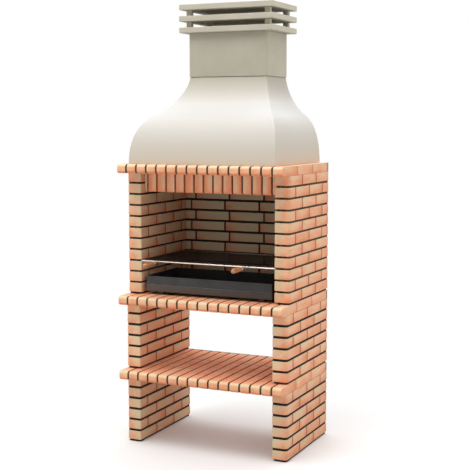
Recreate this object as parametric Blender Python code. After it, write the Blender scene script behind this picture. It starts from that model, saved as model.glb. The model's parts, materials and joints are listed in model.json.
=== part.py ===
"""Outdoor masonry barbecue, built from prefabricated brick modules.

Two brick piers carry a shelf, two more carry the hearth, and a three-sided firebox
carries a top slab, a rendered hood, a chimney block and a louvred cap. An ember tray
stands on the hearth and a wire grill slides in the mortar grooves of the firebox.

Metres, +Z up, -Y is the front. The origin is on the floor, under the middle of the box
that holds the whole object.
"""

from math import cos, pi, sin

import bmesh
import bpy
from mathutils import Matrix, Vector

# Brickwork
BRICK_HEIGHT = 0.05
MORTAR_HEIGHT = 0.01
LOWER_COURSES = 6
MIDDLE_COURSES = 6
FIREBOX_COURSES = 11
WALL_THICKNESS = 0.085
PIER_DEPTH = 0.59
FIREBOX_SETBACK = 0.024
CORNER_RADIUS = 0.02
INNER_CORNER_RADIUS = 0.008
CORNER_STEPS = 2
MORTAR_RECESS = 0.005
GRILL_GROOVE_DEPTH = 0.012
GROOVE_END_SLOPE = 0.004
SEAT_GAP = 0.0003

# Thin joints between the brick ends, as shares of a module's depth from its front
JOINT_DEPTH = 0.0018
CUT_OVERRUN = 0.003
PIER_JOINT_SHARES = ((0.31, 0.655), (0.139, 0.482, 0.824))
FIREBOX_JOINT_SHARES = ((0.311, 0.664), (0.145, 0.486, 0.83))
SLAB_JOINT_SHARES = (0.31, 0.636)

# Slabs: rows of bricks that run from front to back
SLAB_ROWS = 16
ROW_WIDTH = 0.05
ROW_JOINT = 0.01
SLAB_THICKNESS = 0.05
SLAB_OVERHANG = 0.08
SLAB_NOSE_RADIUS = 0.012
SLAB_RECESS = 0.004
SMOKE_SIDE_LEDGE = 0.06
SMOKE_LEDGE = 0.03

# Back wall of the firebox
BACK_THICKNESS = 0.046
BACK_BRICK_PITCH = 0.2155
BACK_JOINTS = 4
BACK_COURSE_SHIFT = 0.0288
BACK_JOINT_STEP = 0.001

# Lintel: a row of upright bricks in front of a cast beam
LINTEL_HEIGHT = 0.104
LINTEL_SETBACK = 0.042
LINTEL_BRICK_DEPTH = 0.045
LINTEL_JOINT = 0.006
LINTEL_BRICKS = 15
LINTEL_FIRST_SHARE = 0.321
LINTEL_LAST_SHARE = 0.571
LINTEL_NOSE_RADIUS = 0.01
BEAM_DEPTH = 0.035
BEAM_BEARING = 0.03
POCKET_CLEARANCE = 0.002

# Hood
HOOD_HEIGHT = 0.463
HOOD_SIDE_INSET = 0.048
HOOD_OVERHANG = 0.045
HOOD_BACK_INSET = 0.004
HOOD_WALL = 0.03
HOOD_THROAT = 0.04
HOOD_EDGE_RADIUS = 0.01
HOOD_INNER_RADIUS = 0.006
HOOD_CURVE_STEPS = 5
LOWER_CURVE_SHARES = ((0, 0), (0.32, 0), (0.49, 0.2), (0.56, 0.43))
UPPER_CURVE_SHARES = ((0.56, 0.43), (0.68, 0.83), (0.93, 1.0), (1.0, 1.0))
NECK_INSET = 0.002

# Chimney and cap
FLUE_BED_HEIGHT = 0.003
FLUE_BED_RECESS = 0.005
CHIMNEY_WIDTH = 0.468
CHIMNEY_DEPTH = 0.279
CHIMNEY_HEIGHT = 0.237
CHIMNEY_BACK_INSET = 0.019
CHIMNEY_WALL = 0.035
CHIMNEY_EDGE_RADIUS = 0.012
CAP_SIDE_OVERHANG = 0.044
CAP_END_OVERHANG = 0.031
CAP_PLATE = 0.0305
CAP_GAP = 0.031
POST_SIZE = 0.03
POST_INSET = 0.03

# Ember tray
TRAY_SIDE_CLEARANCE = 0.017
TRAY_DEPTH = 0.36
TRAY_HEIGHT = 0.085
TRAY_CREASE_HEIGHT = 0.037
TRAY_TAPER = 0.003
TRAY_SETBACK = 0.017
TRAY_SHEET = 0.003
TRAY_STAND = 0.016
FOOT_WIDTH = 0.03
FOOT_INSET = 0.06

# Grill: a rod frame, thin wires from front to back and cross rods under them
GRILL_COURSE = 3
GRILL_GROOVE_PLAY = 0.002
GRILL_WIRE_RADIUS = 0.0015
GRILL_CROSS_RADIUS = 0.002
GRILL_SIDE_CLEARANCE = 0.002
GRILL_BACK_CLEARANCE = 0.01
GRILL_CORNER_RADIUS = 0.012
GRILL_WIRES = 52
GRILL_CROSS_RODS = 9
ROD_SIDES = 8
WIRE_SIDES = 4

# Handles of the grill
HANDLE_PLACES = {"left": -0.272, "right": 0.238}
WIRE_REACH = 0.058
GRIP_LENGTH = 0.124
GRIP_RADIUS = 0.0135
GRIP_NECK_WALL = 0.0028
GRIP_BORE_DEPTH = 0.07
GRIP_SIDES = 12
GRIP_PROFILE_SHARES = (
    (0.18, 0.68), (0.3, 0.86), (0.5, 0.95), (0.75, 1.0), (0.9, 0.88), (0.97, 0.62), (1.0, 0.3),
)
FERRULE_LENGTH = 0.016
FERRULE_WALL = 0.0022
HAIRPIN_RADIUS = 0.002
HAIRPIN_LEG_GAP = 0.0012
HAIRPIN_BORE_PLAY = 0.0004
HAIRPIN_SPREAD = 0.012
HAIRPIN_TURN_STEPS = 6
HAIRPIN_BENDS_SHARES = (0.2, 0.8)

# Edges flatter than this are shaded smooth
SHARP_ANGLE = pi / 5

# Worked out from the sizes above
COURSE = BRICK_HEIGHT + MORTAR_HEIGHT
ROW_PITCH = ROW_WIDTH + ROW_JOINT
HALF_WIDTH = (SLAB_ROWS * ROW_PITCH - ROW_JOINT) / 2
INNER_HALF = HALF_WIDTH - WALL_THICKNESS
FRONT_REACH = max(SLAB_OVERHANG, WIRE_REACH + GRIP_LENGTH - FIREBOX_SETBACK)
BACK_REACH = max(0, CAP_END_OVERHANG - CHIMNEY_BACK_INSET)
PIER_FRONT = (FRONT_REACH - PIER_DEPTH - BACK_REACH) / 2
PIER_BACK = PIER_FRONT + PIER_DEPTH
FIREBOX_FRONT = PIER_FRONT + FIREBOX_SETBACK
BACK_WALL_FRONT = PIER_BACK - BACK_THICKNESS
SHELF_BOTTOM = LOWER_COURSES * COURSE
SHELF_TOP = SHELF_BOTTOM + SLAB_THICKNESS
HEARTH_BOTTOM = SHELF_TOP + MIDDLE_COURSES * COURSE
HEARTH_TOP = HEARTH_BOTTOM + SLAB_THICKNESS
MANTEL_BOTTOM = HEARTH_TOP + FIREBOX_COURSES * COURSE
MANTEL_TOP = MANTEL_BOTTOM + SLAB_THICKNESS
LINTEL_BOTTOM = MANTEL_BOTTOM - LINTEL_HEIGHT
LINTEL_FRONT = FIREBOX_FRONT + LINTEL_SETBACK
BEAM_FRONT = LINTEL_FRONT + LINTEL_BRICK_DEPTH
BEAM_BACK = BEAM_FRONT + BEAM_DEPTH
LINTEL_PITCH = 2 * INNER_HALF / (LINTEL_BRICKS - 2 + LINTEL_FIRST_SHARE + LINTEL_LAST_SHARE)
HOOD_HALF = HALF_WIDTH - HOOD_SIDE_INSET
HOOD_TOP = MANTEL_TOP + HOOD_HEIGHT
CHIMNEY_BOTTOM = HOOD_TOP + FLUE_BED_HEIGHT
CHIMNEY_TOP = CHIMNEY_BOTTOM + CHIMNEY_HEIGHT
CHIMNEY_BACK = PIER_BACK - CHIMNEY_BACK_INSET
CHIMNEY_FRONT = CHIMNEY_BACK - CHIMNEY_DEPTH
CHIMNEY_HALF = CHIMNEY_WIDTH / 2
GRILL_ROD_RADIUS = (MORTAR_HEIGHT - GRILL_GROOVE_PLAY) / 2
GRILL_LEDGE = HEARTH_TOP + GRILL_COURSE * COURSE
GRILL_Z = GRILL_LEDGE + SEAT_GAP + GRILL_ROD_RADIUS
GRILL_HALF = INNER_HALF + GRILL_GROOVE_DEPTH - GRILL_SIDE_CLEARANCE - GRILL_ROD_RADIUS
GRILL_FRONT = FIREBOX_FRONT + GRILL_ROD_RADIUS
GRILL_BACK = BACK_WALL_FRONT - GRILL_BACK_CLEARANCE - GRILL_ROD_RADIUS
GRIP_END = FIREBOX_FRONT - WIRE_REACH
HAIRPIN_HALF_GAP = HAIRPIN_RADIUS + HAIRPIN_LEG_GAP / 2
GRIP_BORE_RADIUS = HAIRPIN_HALF_GAP + HAIRPIN_RADIUS + HAIRPIN_BORE_PLAY
GRIP_NECK_RADIUS = GRIP_BORE_RADIUS + GRIP_NECK_WALL
TRAY_HALF = INNER_HALF - TRAY_SIDE_CLEARANCE
TRAY_FRONT = FIREBOX_FRONT + TRAY_SETBACK
TRAY_BOTTOM = HEARTH_TOP + TRAY_STAND


def clear_scene():
    for old in list(bpy.data.objects):
        bpy.data.objects.remove(old, do_unlink=True)


def finish(name, colour, roughness, metallic=0.0):
    """A plain surface finish."""
    made = bpy.data.materials.new(name)
    made.use_nodes = True
    shader = made.node_tree.nodes["Principled BSDF"]
    shader.inputs["Base Color"].default_value = (*colour, 1.0)
    shader.inputs["Roughness"].default_value = roughness
    shader.inputs["Metallic"].default_value = metallic
    made.diffuse_color = (*colour, 1.0)
    return made


def all_finishes():
    return {
        "brick": finish("brick", (0.83, 0.40, 0.22), 0.85),
        "mortar": finish("mortar", (0.045, 0.045, 0.03), 0.95),
        "render": finish("render", (0.80, 0.77, 0.70), 0.8),
        "cast_stone": finish("cast_stone", (0.52, 0.48, 0.38), 0.85),
        "black_steel": finish("black_steel", (0.05, 0.05, 0.05), 0.45, 1.0),
        "bright_steel": finish("bright_steel", (0.75, 0.72, 0.68), 0.25, 1.0),
        "wood": finish("wood", (0.52, 0.25, 0.10), 0.55),
    }


# Outlines

def rounded(low, high, radii):
    """Rectangle from low to high with its corners rounded, anticlockwise from low, low."""
    spots = ((low[0], low[1], 1, 1), (high[0], low[1], -1, 1),
             (high[0], high[1], -1, -1), (low[0], high[1], 1, -1))
    points = []
    for turn, (spot, radius) in enumerate(zip(spots, radii)):
        steps = CORNER_STEPS if radius > 0 else 0
        centre = (spot[0] + spot[2] * radius, spot[1] + spot[3] * radius)
        for step in range(steps + 1):
            angle = pi + (turn + step / max(steps, 1)) * pi / 2
            points.append((centre[0] + radius * cos(angle), centre[1] + radius * sin(angle)))
    return points


def level(plan, z):
    return [(x, y, z) for x, y in plan]


def upright(profile, x):
    return [(x, y, z) for y, z in profile]


def bezier(points, steps):
    """Points along a cubic curve, without its first one."""
    found = []
    for step in range(1, steps + 1):
        share = step / steps
        rest = 1 - share
        weights = (rest ** 3, 3 * rest ** 2 * share, 3 * rest * share ** 2, share ** 3)
        found.append(tuple(sum(w * p[i] for w, p in zip(weights, points)) for i in (0, 1)))
    return found


# Solids

def add_loft(shape, rings, looped=False, recessed=()):
    """Join equal rings of points into a closed shell; recessed names the mortar bands."""
    loops = [[shape.verts.new(point) for point in ring] for ring in rings]
    pairs = list(zip(loops, loops[1:]))
    if looped:
        pairs.append((loops[-1], loops[0]))
    else:
        shape.faces.new(loops[0])
        shape.faces.new(loops[-1])
    for band, (near, far) in enumerate(pairs):
        for index in range(len(near)):
            following = (index + 1) % len(near)
            corners = (near[index], near[following], far[following], far[index])
            face = shape.faces.new(corners)
            face.material_index = 1 if band in recessed else 0


def make_object(name, shape, finishes, origin):
    """Turn a bmesh in world places into an object whose own origin is given."""
    bmesh.ops.recalc_face_normals(shape, faces=shape.faces)
    bmesh.ops.translate(shape, verts=shape.verts, vec=-Vector(origin))
    mesh = bpy.data.meshes.new(name)
    shape.to_mesh(mesh)
    shape.free()
    mesh.shade_smooth()
    mesh.set_sharp_from_angle(angle=SHARP_ANGLE)
    for made in finishes:
        mesh.materials.append(made)
    piece = bpy.data.objects.new(name, mesh)
    piece.location = origin
    bpy.context.collection.objects.link(piece)
    return piece


def loft(name, rings, finishes, origin, looped=False, recessed=()):
    shape = bmesh.new()
    add_loft(shape, rings, looped, recessed)
    return make_object(name, shape, finishes, origin)


def add_box(shape, low, high):
    size = Vector(high) - Vector(low)
    centre = (Vector(high) + Vector(low)) / 2
    placed = Matrix.Translation(centre) @ Matrix.Diagonal((*size, 1))
    bmesh.ops.create_cube(shape, size=1, matrix=placed)


def box(name, low, high, finishes):
    shape = bmesh.new()
    add_box(shape, low, high)
    base = ((low[0] + high[0]) / 2, (low[1] + high[1]) / 2, low[2])
    return make_object(name, shape, finishes, base)


def copy_of(piece, name, location):
    twin = bpy.data.objects.new(name, piece.data)
    twin.location = location
    bpy.context.collection.objects.link(twin)
    return twin


def helper(piece):
    """Mark a cutter or a joining shape, which isn't part of the model."""
    piece.hide_render = True
    piece.display_type = "WIRE"
    return piece


def combine(piece, tool, operation):
    change = piece.modifiers.new(operation.lower(), "BOOLEAN")
    change.operation = operation
    change.object = tool


def cut_out(piece, shape, word, finishes):
    """Take a shape out of a piece."""
    cutter = helper(make_object(f"{word}_cutter_{piece.name}", shape, finishes, (0, 0, 0)))
    combine(piece, cutter, "DIFFERENCE")


def cut_boxes(piece, boxes, finishes):
    """Take a set of boxes, which don't touch each other, out of a piece."""
    shape = bmesh.new()
    for low, high in boxes:
        add_box(shape, low, high)
    cut_out(piece, shape, "box", finishes)


def cut_joints(piece, joints, finishes):
    """Take thin V joints out of a piece, each at x, y from one height to another."""
    shape = bmesh.new()
    for x, y, low_z, high_z in joints:
        plan = ((x - JOINT_DEPTH, y), (x, y - JOINT_DEPTH), (x + JOINT_DEPTH, y), (x, y + JOINT_DEPTH))
        add_loft(shape, [level(plan, low_z), level(plan, high_z)])
    cut_out(piece, shape, "joint", finishes)


def tube_rings(path, radius, sides, closed=False):
    """Rings round a path that lies level, mitred where it bends."""
    spots = [Vector(point) for point in path]
    count = len(spots)
    rings = []
    for index, spot in enumerate(spots):
        before = spots[index - 1] if closed or index > 0 else None
        after = spots[(index + 1) % count] if closed or index < count - 1 else None
        into = (spot - before).normalized() if before is not None else None
        out = (after - spot).normalized() if after is not None else None
        into = into if into is not None else out
        out = out if out is not None else into
        along = (into + out).normalized()
        across = along.cross(Vector((0, 0, 1)))
        stretch = 1 / along.dot(into)
        ring = []
        for side in range(sides):
            angle = 2 * pi * side / sides
            ring.append(spot + across * (stretch * radius * cos(angle))
                        + Vector((0, 0, radius * sin(angle))))
        rings.append(ring)
    return rings


# Coursed masonry

def coursed(name, first, count, thick, joint, brick_ring, joint_ring, finishes, origin):
    """Bricks of one thickness with recessed mortar between them, as one solid."""
    rings = []
    for index in range(count):
        near = first + index * (thick + joint)
        far = near + thick
        rings += [brick_ring(near), brick_ring(far)]
        if index < count - 1:
            rings += [joint_ring(far), joint_ring(far + joint)]
    return loft(name, rings, finishes, origin, recessed=range(2, len(rings), 4))


def wall_plan(side, front, inset=0, inner_inset=0):
    """Plan of a side wall, its outer front corner rounded more than its inner one."""
    outer = side * (HALF_WIDTH - inset)
    inner = side * (INNER_HALF + inner_inset)
    outer_radius = CORNER_RADIUS - inset
    low = (min(outer, inner), front + inset)
    high = (max(outer, inner), PIER_BACK - inset)
    if side < 0:
        return rounded(low, high, (outer_radius, INNER_CORNER_RADIUS, 0, 0))
    return rounded(low, high, (INNER_CORNER_RADIUS, outer_radius, 0, 0))


def firebox_plan(side, inset=0, groove=0):
    """Plan of a firebox wall, whose grooves run out in front of the back wall."""
    plan = wall_plan(side, FIREBOX_FRONT, inset, groove)
    corner = min(plan, key=lambda point: (-point[1], abs(point[0])))
    shallow = side * (INNER_HALF + min(groove, SEAT_GAP))
    turns = [(corner[0], BACK_WALL_FRONT - GROOVE_END_SLOPE), (shallow, BACK_WALL_FRONT)]
    turns.append((shallow, corner[1]))
    place = plan.index(corner)
    plan[place:place + 1] = turns if side < 0 else turns[::-1]
    return plan


def wall_joints(side, front, base, courses, shares):
    """The thin joints on both faces of a side wall."""
    joints = []
    for course in range(courses):
        low_z = base + course * COURSE + MORTAR_HEIGHT - CUT_OVERRUN
        high_z = base + (course + 1) * COURSE + CUT_OVERRUN
        for share in shares[course % 2]:
            y = front + share * (PIER_BACK - front)
            joints += [(side * face, y, low_z, high_z) for face in (HALF_WIDTH, INNER_HALF)]
    return joints


def side_wall(name, side, front, base, courses, shares, brick, core, finishes):
    """A brick side module: its courses, mortar grooves and thin joints."""
    origin = (side * (HALF_WIDTH + INNER_HALF) / 2, front, base + MORTAR_HEIGHT)
    wall = coursed(name, base + MORTAR_HEIGHT, courses, BRICK_HEIGHT, MORTAR_HEIGHT,
                   lambda z: level(brick, z), lambda z: level(core, z), finishes, origin)
    cut_joints(wall, wall_joints(side, front, base, courses, shares), finishes)
    return wall


def mortar_bed(name, plan, base, seat, finishes):
    """The bed that a module stands on; seat is the gap below it."""
    rings = [level(plan, base + seat), level(plan, base + MORTAR_HEIGHT - SEAT_GAP)]
    centre = [sum(point[axis] for point in plan) / len(plan) for axis in (0, 1)]
    return loft(name, rings, finishes, (centre[0], centre[1], base + seat))


def piers(looks):
    made = []
    for word, side in (("left", -1), ("right", 1)):
        brick = wall_plan(side, PIER_FRONT)
        core = wall_plan(side, PIER_FRONT, MORTAR_RECESS, MORTAR_RECESS)
        for tier, base, seat, courses in (("lower", 0, 0, LOWER_COURSES),
                                          ("middle", SHELF_TOP, SEAT_GAP, MIDDLE_COURSES)):
            made.append(mortar_bed(f"{tier}_{word}_mortar_bed", core, base, seat, [looks["mortar"]]))
            made.append(side_wall(f"{tier}_{word}_pier", side, PIER_FRONT, base, courses,
                                  PIER_JOINT_SHARES, brick, core, [looks["brick"], looks["mortar"]]))
    return made


def beam_pocket(side):
    """Notch in a firebox wall that takes one end of the lintel beam."""
    ends = sorted((side * (INNER_HALF - CUT_OVERRUN), side * (INNER_HALF + BEAM_BEARING + POCKET_CLEARANCE)))
    return ((ends[0], BEAM_FRONT - POCKET_CLEARANCE, LINTEL_BOTTOM - SEAT_GAP),
            (ends[1], BEAM_BACK + POCKET_CLEARANCE, MANTEL_BOTTOM + CUT_OVERRUN))


def firebox_sides(looks):
    made = []
    for word, side in (("left", -1), ("right", 1)):
        core = firebox_plan(side, MORTAR_RECESS, GRILL_GROOVE_DEPTH)
        made.append(mortar_bed(f"firebox_{word}_mortar_bed", core, HEARTH_TOP, SEAT_GAP, [looks["mortar"]]))
        finishes = [looks["brick"], looks["mortar"]]
        wall = side_wall(f"firebox_{word}_wall", side, FIREBOX_FRONT, HEARTH_TOP, FIREBOX_COURSES,
                         FIREBOX_JOINT_SHARES, firebox_plan(side), core, finishes)
        cut_boxes(wall, [beam_pocket(side)], finishes)
        made.append(wall)
    return made


def back_joint_boxes():
    """Cutters for the wide upright joints on both faces of the back wall."""
    depth = MORTAR_RECESS - BACK_JOINT_STEP
    boxes = []
    for course in range(FIREBOX_COURSES):
        low_z = HEARTH_TOP + course * COURSE + MORTAR_HEIGHT - CUT_OVERRUN
        high_z = HEARTH_TOP + (course + 1) * COURSE + CUT_OVERRUN
        for joint in range(BACK_JOINTS):
            x = (joint - (BACK_JOINTS - 1) / 2) * BACK_BRICK_PITCH - (course % 2) * BACK_COURSE_SHIFT
            for low_y, high_y in ((BACK_WALL_FRONT - CUT_OVERRUN, BACK_WALL_FRONT + depth),
                                  (PIER_BACK - depth, PIER_BACK + CUT_OVERRUN)):
                boxes.append(((x - MORTAR_HEIGHT / 2, low_y, low_z), (x + MORTAR_HEIGHT / 2, high_y, high_z)))
    return boxes


def back_plan(inset):
    """Plan of the back wall, whose mortar reaches its ends."""
    half = INNER_HALF - SEAT_GAP - min(inset, SEAT_GAP)
    return rounded((-half, BACK_WALL_FRONT + inset), (half, PIER_BACK - inset), (0, 0, 0, 0))


def firebox_back(looks):
    brick = back_plan(0)
    core = back_plan(MORTAR_RECESS)
    bed = mortar_bed("firebox_back_mortar_bed", core, HEARTH_TOP, SEAT_GAP, [looks["mortar"]])
    origin = (0, BACK_WALL_FRONT, HEARTH_TOP + MORTAR_HEIGHT)
    wall = coursed("firebox_back_wall", HEARTH_TOP + MORTAR_HEIGHT, FIREBOX_COURSES, BRICK_HEIGHT,
                   MORTAR_HEIGHT, lambda z: level(brick, z), lambda z: level(core, z),
                   [looks["brick"], looks["mortar"]], origin)
    cut_boxes(wall, back_joint_boxes(), [looks["brick"], looks["mortar"]])
    return [bed, wall]


def slab_profile(bottom, inset):
    low = (PIER_FRONT - SLAB_OVERHANG + inset, bottom + SEAT_GAP + inset)
    high = (PIER_BACK - inset, bottom + SLAB_THICKNESS - inset)
    nose = SLAB_NOSE_RADIUS - inset
    return rounded(low, high, (nose, 0, 0, nose))


def slab_joints(bottom):
    """The thin joints between brick ends, on both side faces of a slab."""
    joints = []
    front = PIER_FRONT - SLAB_OVERHANG
    top = bottom + SLAB_THICKNESS
    for share in SLAB_JOINT_SHARES:
        y = front + share * (PIER_BACK - front)
        joints += [(side * HALF_WIDTH, y, bottom - CUT_OVERRUN, top + CUT_OVERRUN) for side in (-1, 1)]
    return joints


def slab(name, bottom, looks):
    brick = slab_profile(bottom, 0)
    joint = slab_profile(bottom, SLAB_RECESS)
    finishes = [looks["brick"], looks["mortar"]]
    made = coursed(name, -HALF_WIDTH, SLAB_ROWS, ROW_WIDTH, ROW_JOINT,
                   lambda x: upright(brick, x), lambda x: upright(joint, x), finishes,
                   (0, PIER_FRONT, bottom + SEAT_GAP))
    cut_joints(made, slab_joints(bottom), finishes)
    return made


def slabs(looks):
    half = INNER_HALF - SMOKE_SIDE_LEDGE
    smoke_opening = ((-half, BEAM_BACK + SMOKE_LEDGE, MANTEL_BOTTOM - CUT_OVERRUN),
                     (half, BACK_WALL_FRONT - SMOKE_LEDGE, MANTEL_TOP + CUT_OVERRUN))
    top = slab("top_slab", MANTEL_BOTTOM, looks)
    cut_boxes(top, [smoke_opening], [looks["brick"]])
    return [slab("lower_shelf_slab", SHELF_BOTTOM, looks), slab("hearth_slab", HEARTH_BOTTOM, looks), top]


# Lintel

def lintel_joints():
    """Middle of each joint between the upright bricks, from left to right."""
    first = -INNER_HALF + LINTEL_FIRST_SHARE * LINTEL_PITCH
    return [first + index * LINTEL_PITCH for index in range(LINTEL_BRICKS - 1)]


def lintel_bricks(looks):
    profile = rounded((LINTEL_FRONT, LINTEL_BOTTOM), (BEAM_FRONT - SEAT_GAP, MANTEL_BOTTOM),
                      (LINTEL_NOSE_RADIUS, 0, 0, 0))
    joints = lintel_joints()
    starts = [-INNER_HALF + SEAT_GAP] + [x + LINTEL_JOINT / 2 for x in joints]
    ends = [x - LINTEL_JOINT / 2 for x in joints] + [INNER_HALF - SEAT_GAP]
    made = []
    for index, (start, end) in enumerate(zip(starts, ends)):
        origin = ((start + end) / 2, LINTEL_FRONT, LINTEL_BOTTOM)
        rings = [upright(profile, start), upright(profile, end)]
        made.append(loft(f"lintel_brick_{index + 1:02d}", rings, [looks["brick"]], origin))
    return made


def lintel_beam(looks):
    """Cast beam whose fins fill the joints between the upright bricks."""
    half = INNER_HALF + BEAM_BEARING
    fin = LINTEL_JOINT / 2 - SEAT_GAP
    fin_front = LINTEL_FRONT + MORTAR_RECESS
    plan = [(half, BEAM_FRONT), (half, BEAM_BACK), (-half, BEAM_BACK), (-half, BEAM_FRONT)]
    for x in lintel_joints():
        plan += [(x - fin, BEAM_FRONT), (x - fin, fin_front), (x + fin, fin_front), (x + fin, BEAM_FRONT)]
    rings = [level(plan, LINTEL_BOTTOM), level(plan, MANTEL_BOTTOM)]
    return [loft("lintel_beam", rings, [looks["mortar"]], (0, BEAM_FRONT, LINTEL_BOTTOM))]


# Hood, chimney and cap

def hood_levels():
    """Height and inset shares of the ogee, from the base to the neck."""
    return ([LOWER_CURVE_SHARES[0]] + bezier(LOWER_CURVE_SHARES, HOOD_CURVE_STEPS)
            + bezier(UPPER_CURVE_SHARES, HOOD_CURVE_STEPS))


def hood_plan(inset_share, wall, radius):
    """Plan of the hood between its base and its neck, less a wall."""
    half = HOOD_HALF + inset_share * (CHIMNEY_HALF - NECK_INSET - HOOD_HALF)
    base_front = PIER_FRONT - HOOD_OVERHANG
    base_back = PIER_BACK - HOOD_BACK_INSET
    front = base_front + inset_share * (CHIMNEY_FRONT + NECK_INSET - base_front)
    back = base_back + inset_share * (CHIMNEY_BACK - NECK_INSET - base_back)
    return rounded((-half + wall, front + wall), (half - wall, back - wall), (radius,) * 4)


def hood(looks):
    foot = MANTEL_TOP + SEAT_GAP
    outer = []
    inner = [level(hood_plan(1, HOOD_WALL, HOOD_INNER_RADIUS), HOOD_TOP)]
    for height_share, inset_share in hood_levels():
        z = foot + height_share * (HOOD_TOP - foot)
        outer.append(level(hood_plan(inset_share, 0, HOOD_EDGE_RADIUS), z))
    for height_share, inset_share in reversed(hood_levels()):
        z = foot + height_share * (HOOD_TOP - HOOD_THROAT - foot)
        inner.append(level(hood_plan(inset_share, HOOD_WALL, HOOD_INNER_RADIUS), z))
    return [loft("hood", outer + inner, [looks["render"]], (0, PIER_FRONT, foot), looped=True)]


def square_tube(name, low, high, wall, radius, inner_radius, bottom, top, finishes):
    """Upright tube with a rectangular plan; low and high are its outer corners."""
    outer = rounded(low, high, (radius,) * 4)
    inner = rounded((low[0] + wall, low[1] + wall), (high[0] - wall, high[1] - wall), (inner_radius,) * 4)
    rings = [level(outer, bottom), level(outer, top), level(inner, top), level(inner, bottom)]
    origin = ((low[0] + high[0]) / 2, (low[1] + high[1]) / 2, bottom)
    return loft(name, rings, finishes, origin, looped=True)


def chimney(looks):
    low = (-CHIMNEY_HALF, CHIMNEY_FRONT)
    high = (CHIMNEY_HALF, CHIMNEY_BACK)
    bed_low = (low[0] + FLUE_BED_RECESS, low[1] + FLUE_BED_RECESS)
    bed_high = (high[0] - FLUE_BED_RECESS, high[1] - FLUE_BED_RECESS)
    return [
        square_tube("flue_mortar_bed", bed_low, bed_high, CHIMNEY_WALL - FLUE_BED_RECESS,
                    CHIMNEY_EDGE_RADIUS, HOOD_INNER_RADIUS, HOOD_TOP + SEAT_GAP,
                    CHIMNEY_BOTTOM - SEAT_GAP, [looks["mortar"]]),
        square_tube("chimney_block", low, high, CHIMNEY_WALL, CHIMNEY_EDGE_RADIUS, HOOD_INNER_RADIUS,
                    CHIMNEY_BOTTOM, CHIMNEY_TOP, [looks["cast_stone"]]),
    ]


def cap_ring(name, bottom, looks):
    """Cap plate with a hole the size of the flue."""
    side_wall_width = CAP_SIDE_OVERHANG + CHIMNEY_WALL
    end_wall_width = CAP_END_OVERHANG + CHIMNEY_WALL
    half = CHIMNEY_HALF + CAP_SIDE_OVERHANG
    front = CHIMNEY_FRONT - CAP_END_OVERHANG
    back = CHIMNEY_BACK + CAP_END_OVERHANG
    outer = rounded((-half, front), (half, back), (0, 0, 0, 0))
    inner = rounded((side_wall_width - half, front + end_wall_width),
                    (half - side_wall_width, back - end_wall_width), (0, 0, 0, 0))
    low = bottom + SEAT_GAP
    high = bottom + CAP_PLATE
    rings = [level(outer, low), level(outer, high), level(inner, high), level(inner, low)]
    origin = (0, (front + back) / 2, low)
    return loft(name, rings, [looks["cast_stone"]], origin, looped=True)


def cap_lid(bottom, looks):
    half = CHIMNEY_HALF + CAP_SIDE_OVERHANG
    return box("cap_lid", (-half, CHIMNEY_FRONT - CAP_END_OVERHANG, bottom + SEAT_GAP),
               (half, CHIMNEY_BACK + CAP_END_OVERHANG, bottom + CAP_PLATE), [looks["cast_stone"]])


def cap_posts(tier, bottom, looks):
    """Four corner posts that hold the next plate up."""
    across = CHIMNEY_HALF + CAP_SIDE_OVERHANG - POST_INSET - POST_SIZE / 2
    front = CHIMNEY_FRONT - CAP_END_OVERHANG + POST_INSET + POST_SIZE / 2
    back = CHIMNEY_BACK + CAP_END_OVERHANG - POST_INSET - POST_SIZE / 2
    foot = bottom + SEAT_GAP
    corner = POST_SIZE / 2
    places = (("front_left", -across, front), ("front_right", across, front),
              ("back_left", -across, back), ("back_right", across, back))
    word, x, y = places[0]
    first = box(f"cap_post_{tier}_{word}", (x - corner, y - corner, foot),
                (x + corner, y + corner, bottom + CAP_GAP), [looks["cast_stone"]])
    return [first] + [copy_of(first, f"cap_post_{tier}_{word}", (x, y, foot)) for word, x, y in places[1:]]


def cap(looks):
    storey = CAP_PLATE + CAP_GAP
    return ([cap_ring("cap_lower_ring", CHIMNEY_TOP, looks)]
            + cap_posts("lower", CHIMNEY_TOP + CAP_PLATE, looks)
            + [cap_ring("cap_middle_ring", CHIMNEY_TOP + storey, looks)]
            + cap_posts("upper", CHIMNEY_TOP + storey + CAP_PLATE, looks)
            + [cap_lid(CHIMNEY_TOP + 2 * storey, looks)])


# Ember tray

def tray_plan(inset):
    half = TRAY_HALF - inset
    return rounded((-half, TRAY_FRONT + inset), (half, TRAY_FRONT + TRAY_DEPTH - inset), (0, 0, 0, 0))


def ember_tray(looks):
    """Sheet steel pan, drawn in below its crease, on two feet."""
    crease = TRAY_BOTTOM + TRAY_CREASE_HEIGHT
    top = TRAY_BOTTOM + TRAY_HEIGHT
    rings = [
        level(tray_plan(TRAY_TAPER), TRAY_BOTTOM),
        level(tray_plan(0), crease),
        level(tray_plan(0), top),
        level(tray_plan(TRAY_SHEET), top),
        level(tray_plan(TRAY_SHEET), crease),
        level(tray_plan(TRAY_TAPER + TRAY_SHEET), TRAY_BOTTOM + TRAY_SHEET),
    ]
    pan = loft("ember_tray", rings, [looks["black_steel"]], (0, TRAY_FRONT, TRAY_BOTTOM))
    reach = TRAY_HALF - FOOT_INSET
    left = box("tray_foot_left", (-reach, TRAY_FRONT + FOOT_INSET / 2, HEARTH_TOP + SEAT_GAP),
               (-reach + FOOT_WIDTH, TRAY_FRONT + TRAY_DEPTH - FOOT_INSET / 2, TRAY_BOTTOM - SEAT_GAP),
               [looks["black_steel"]])
    place = left.location
    return [pan, left, copy_of(left, "tray_foot_right", (-place.x, place.y, place.z))]


# Grill

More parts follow.
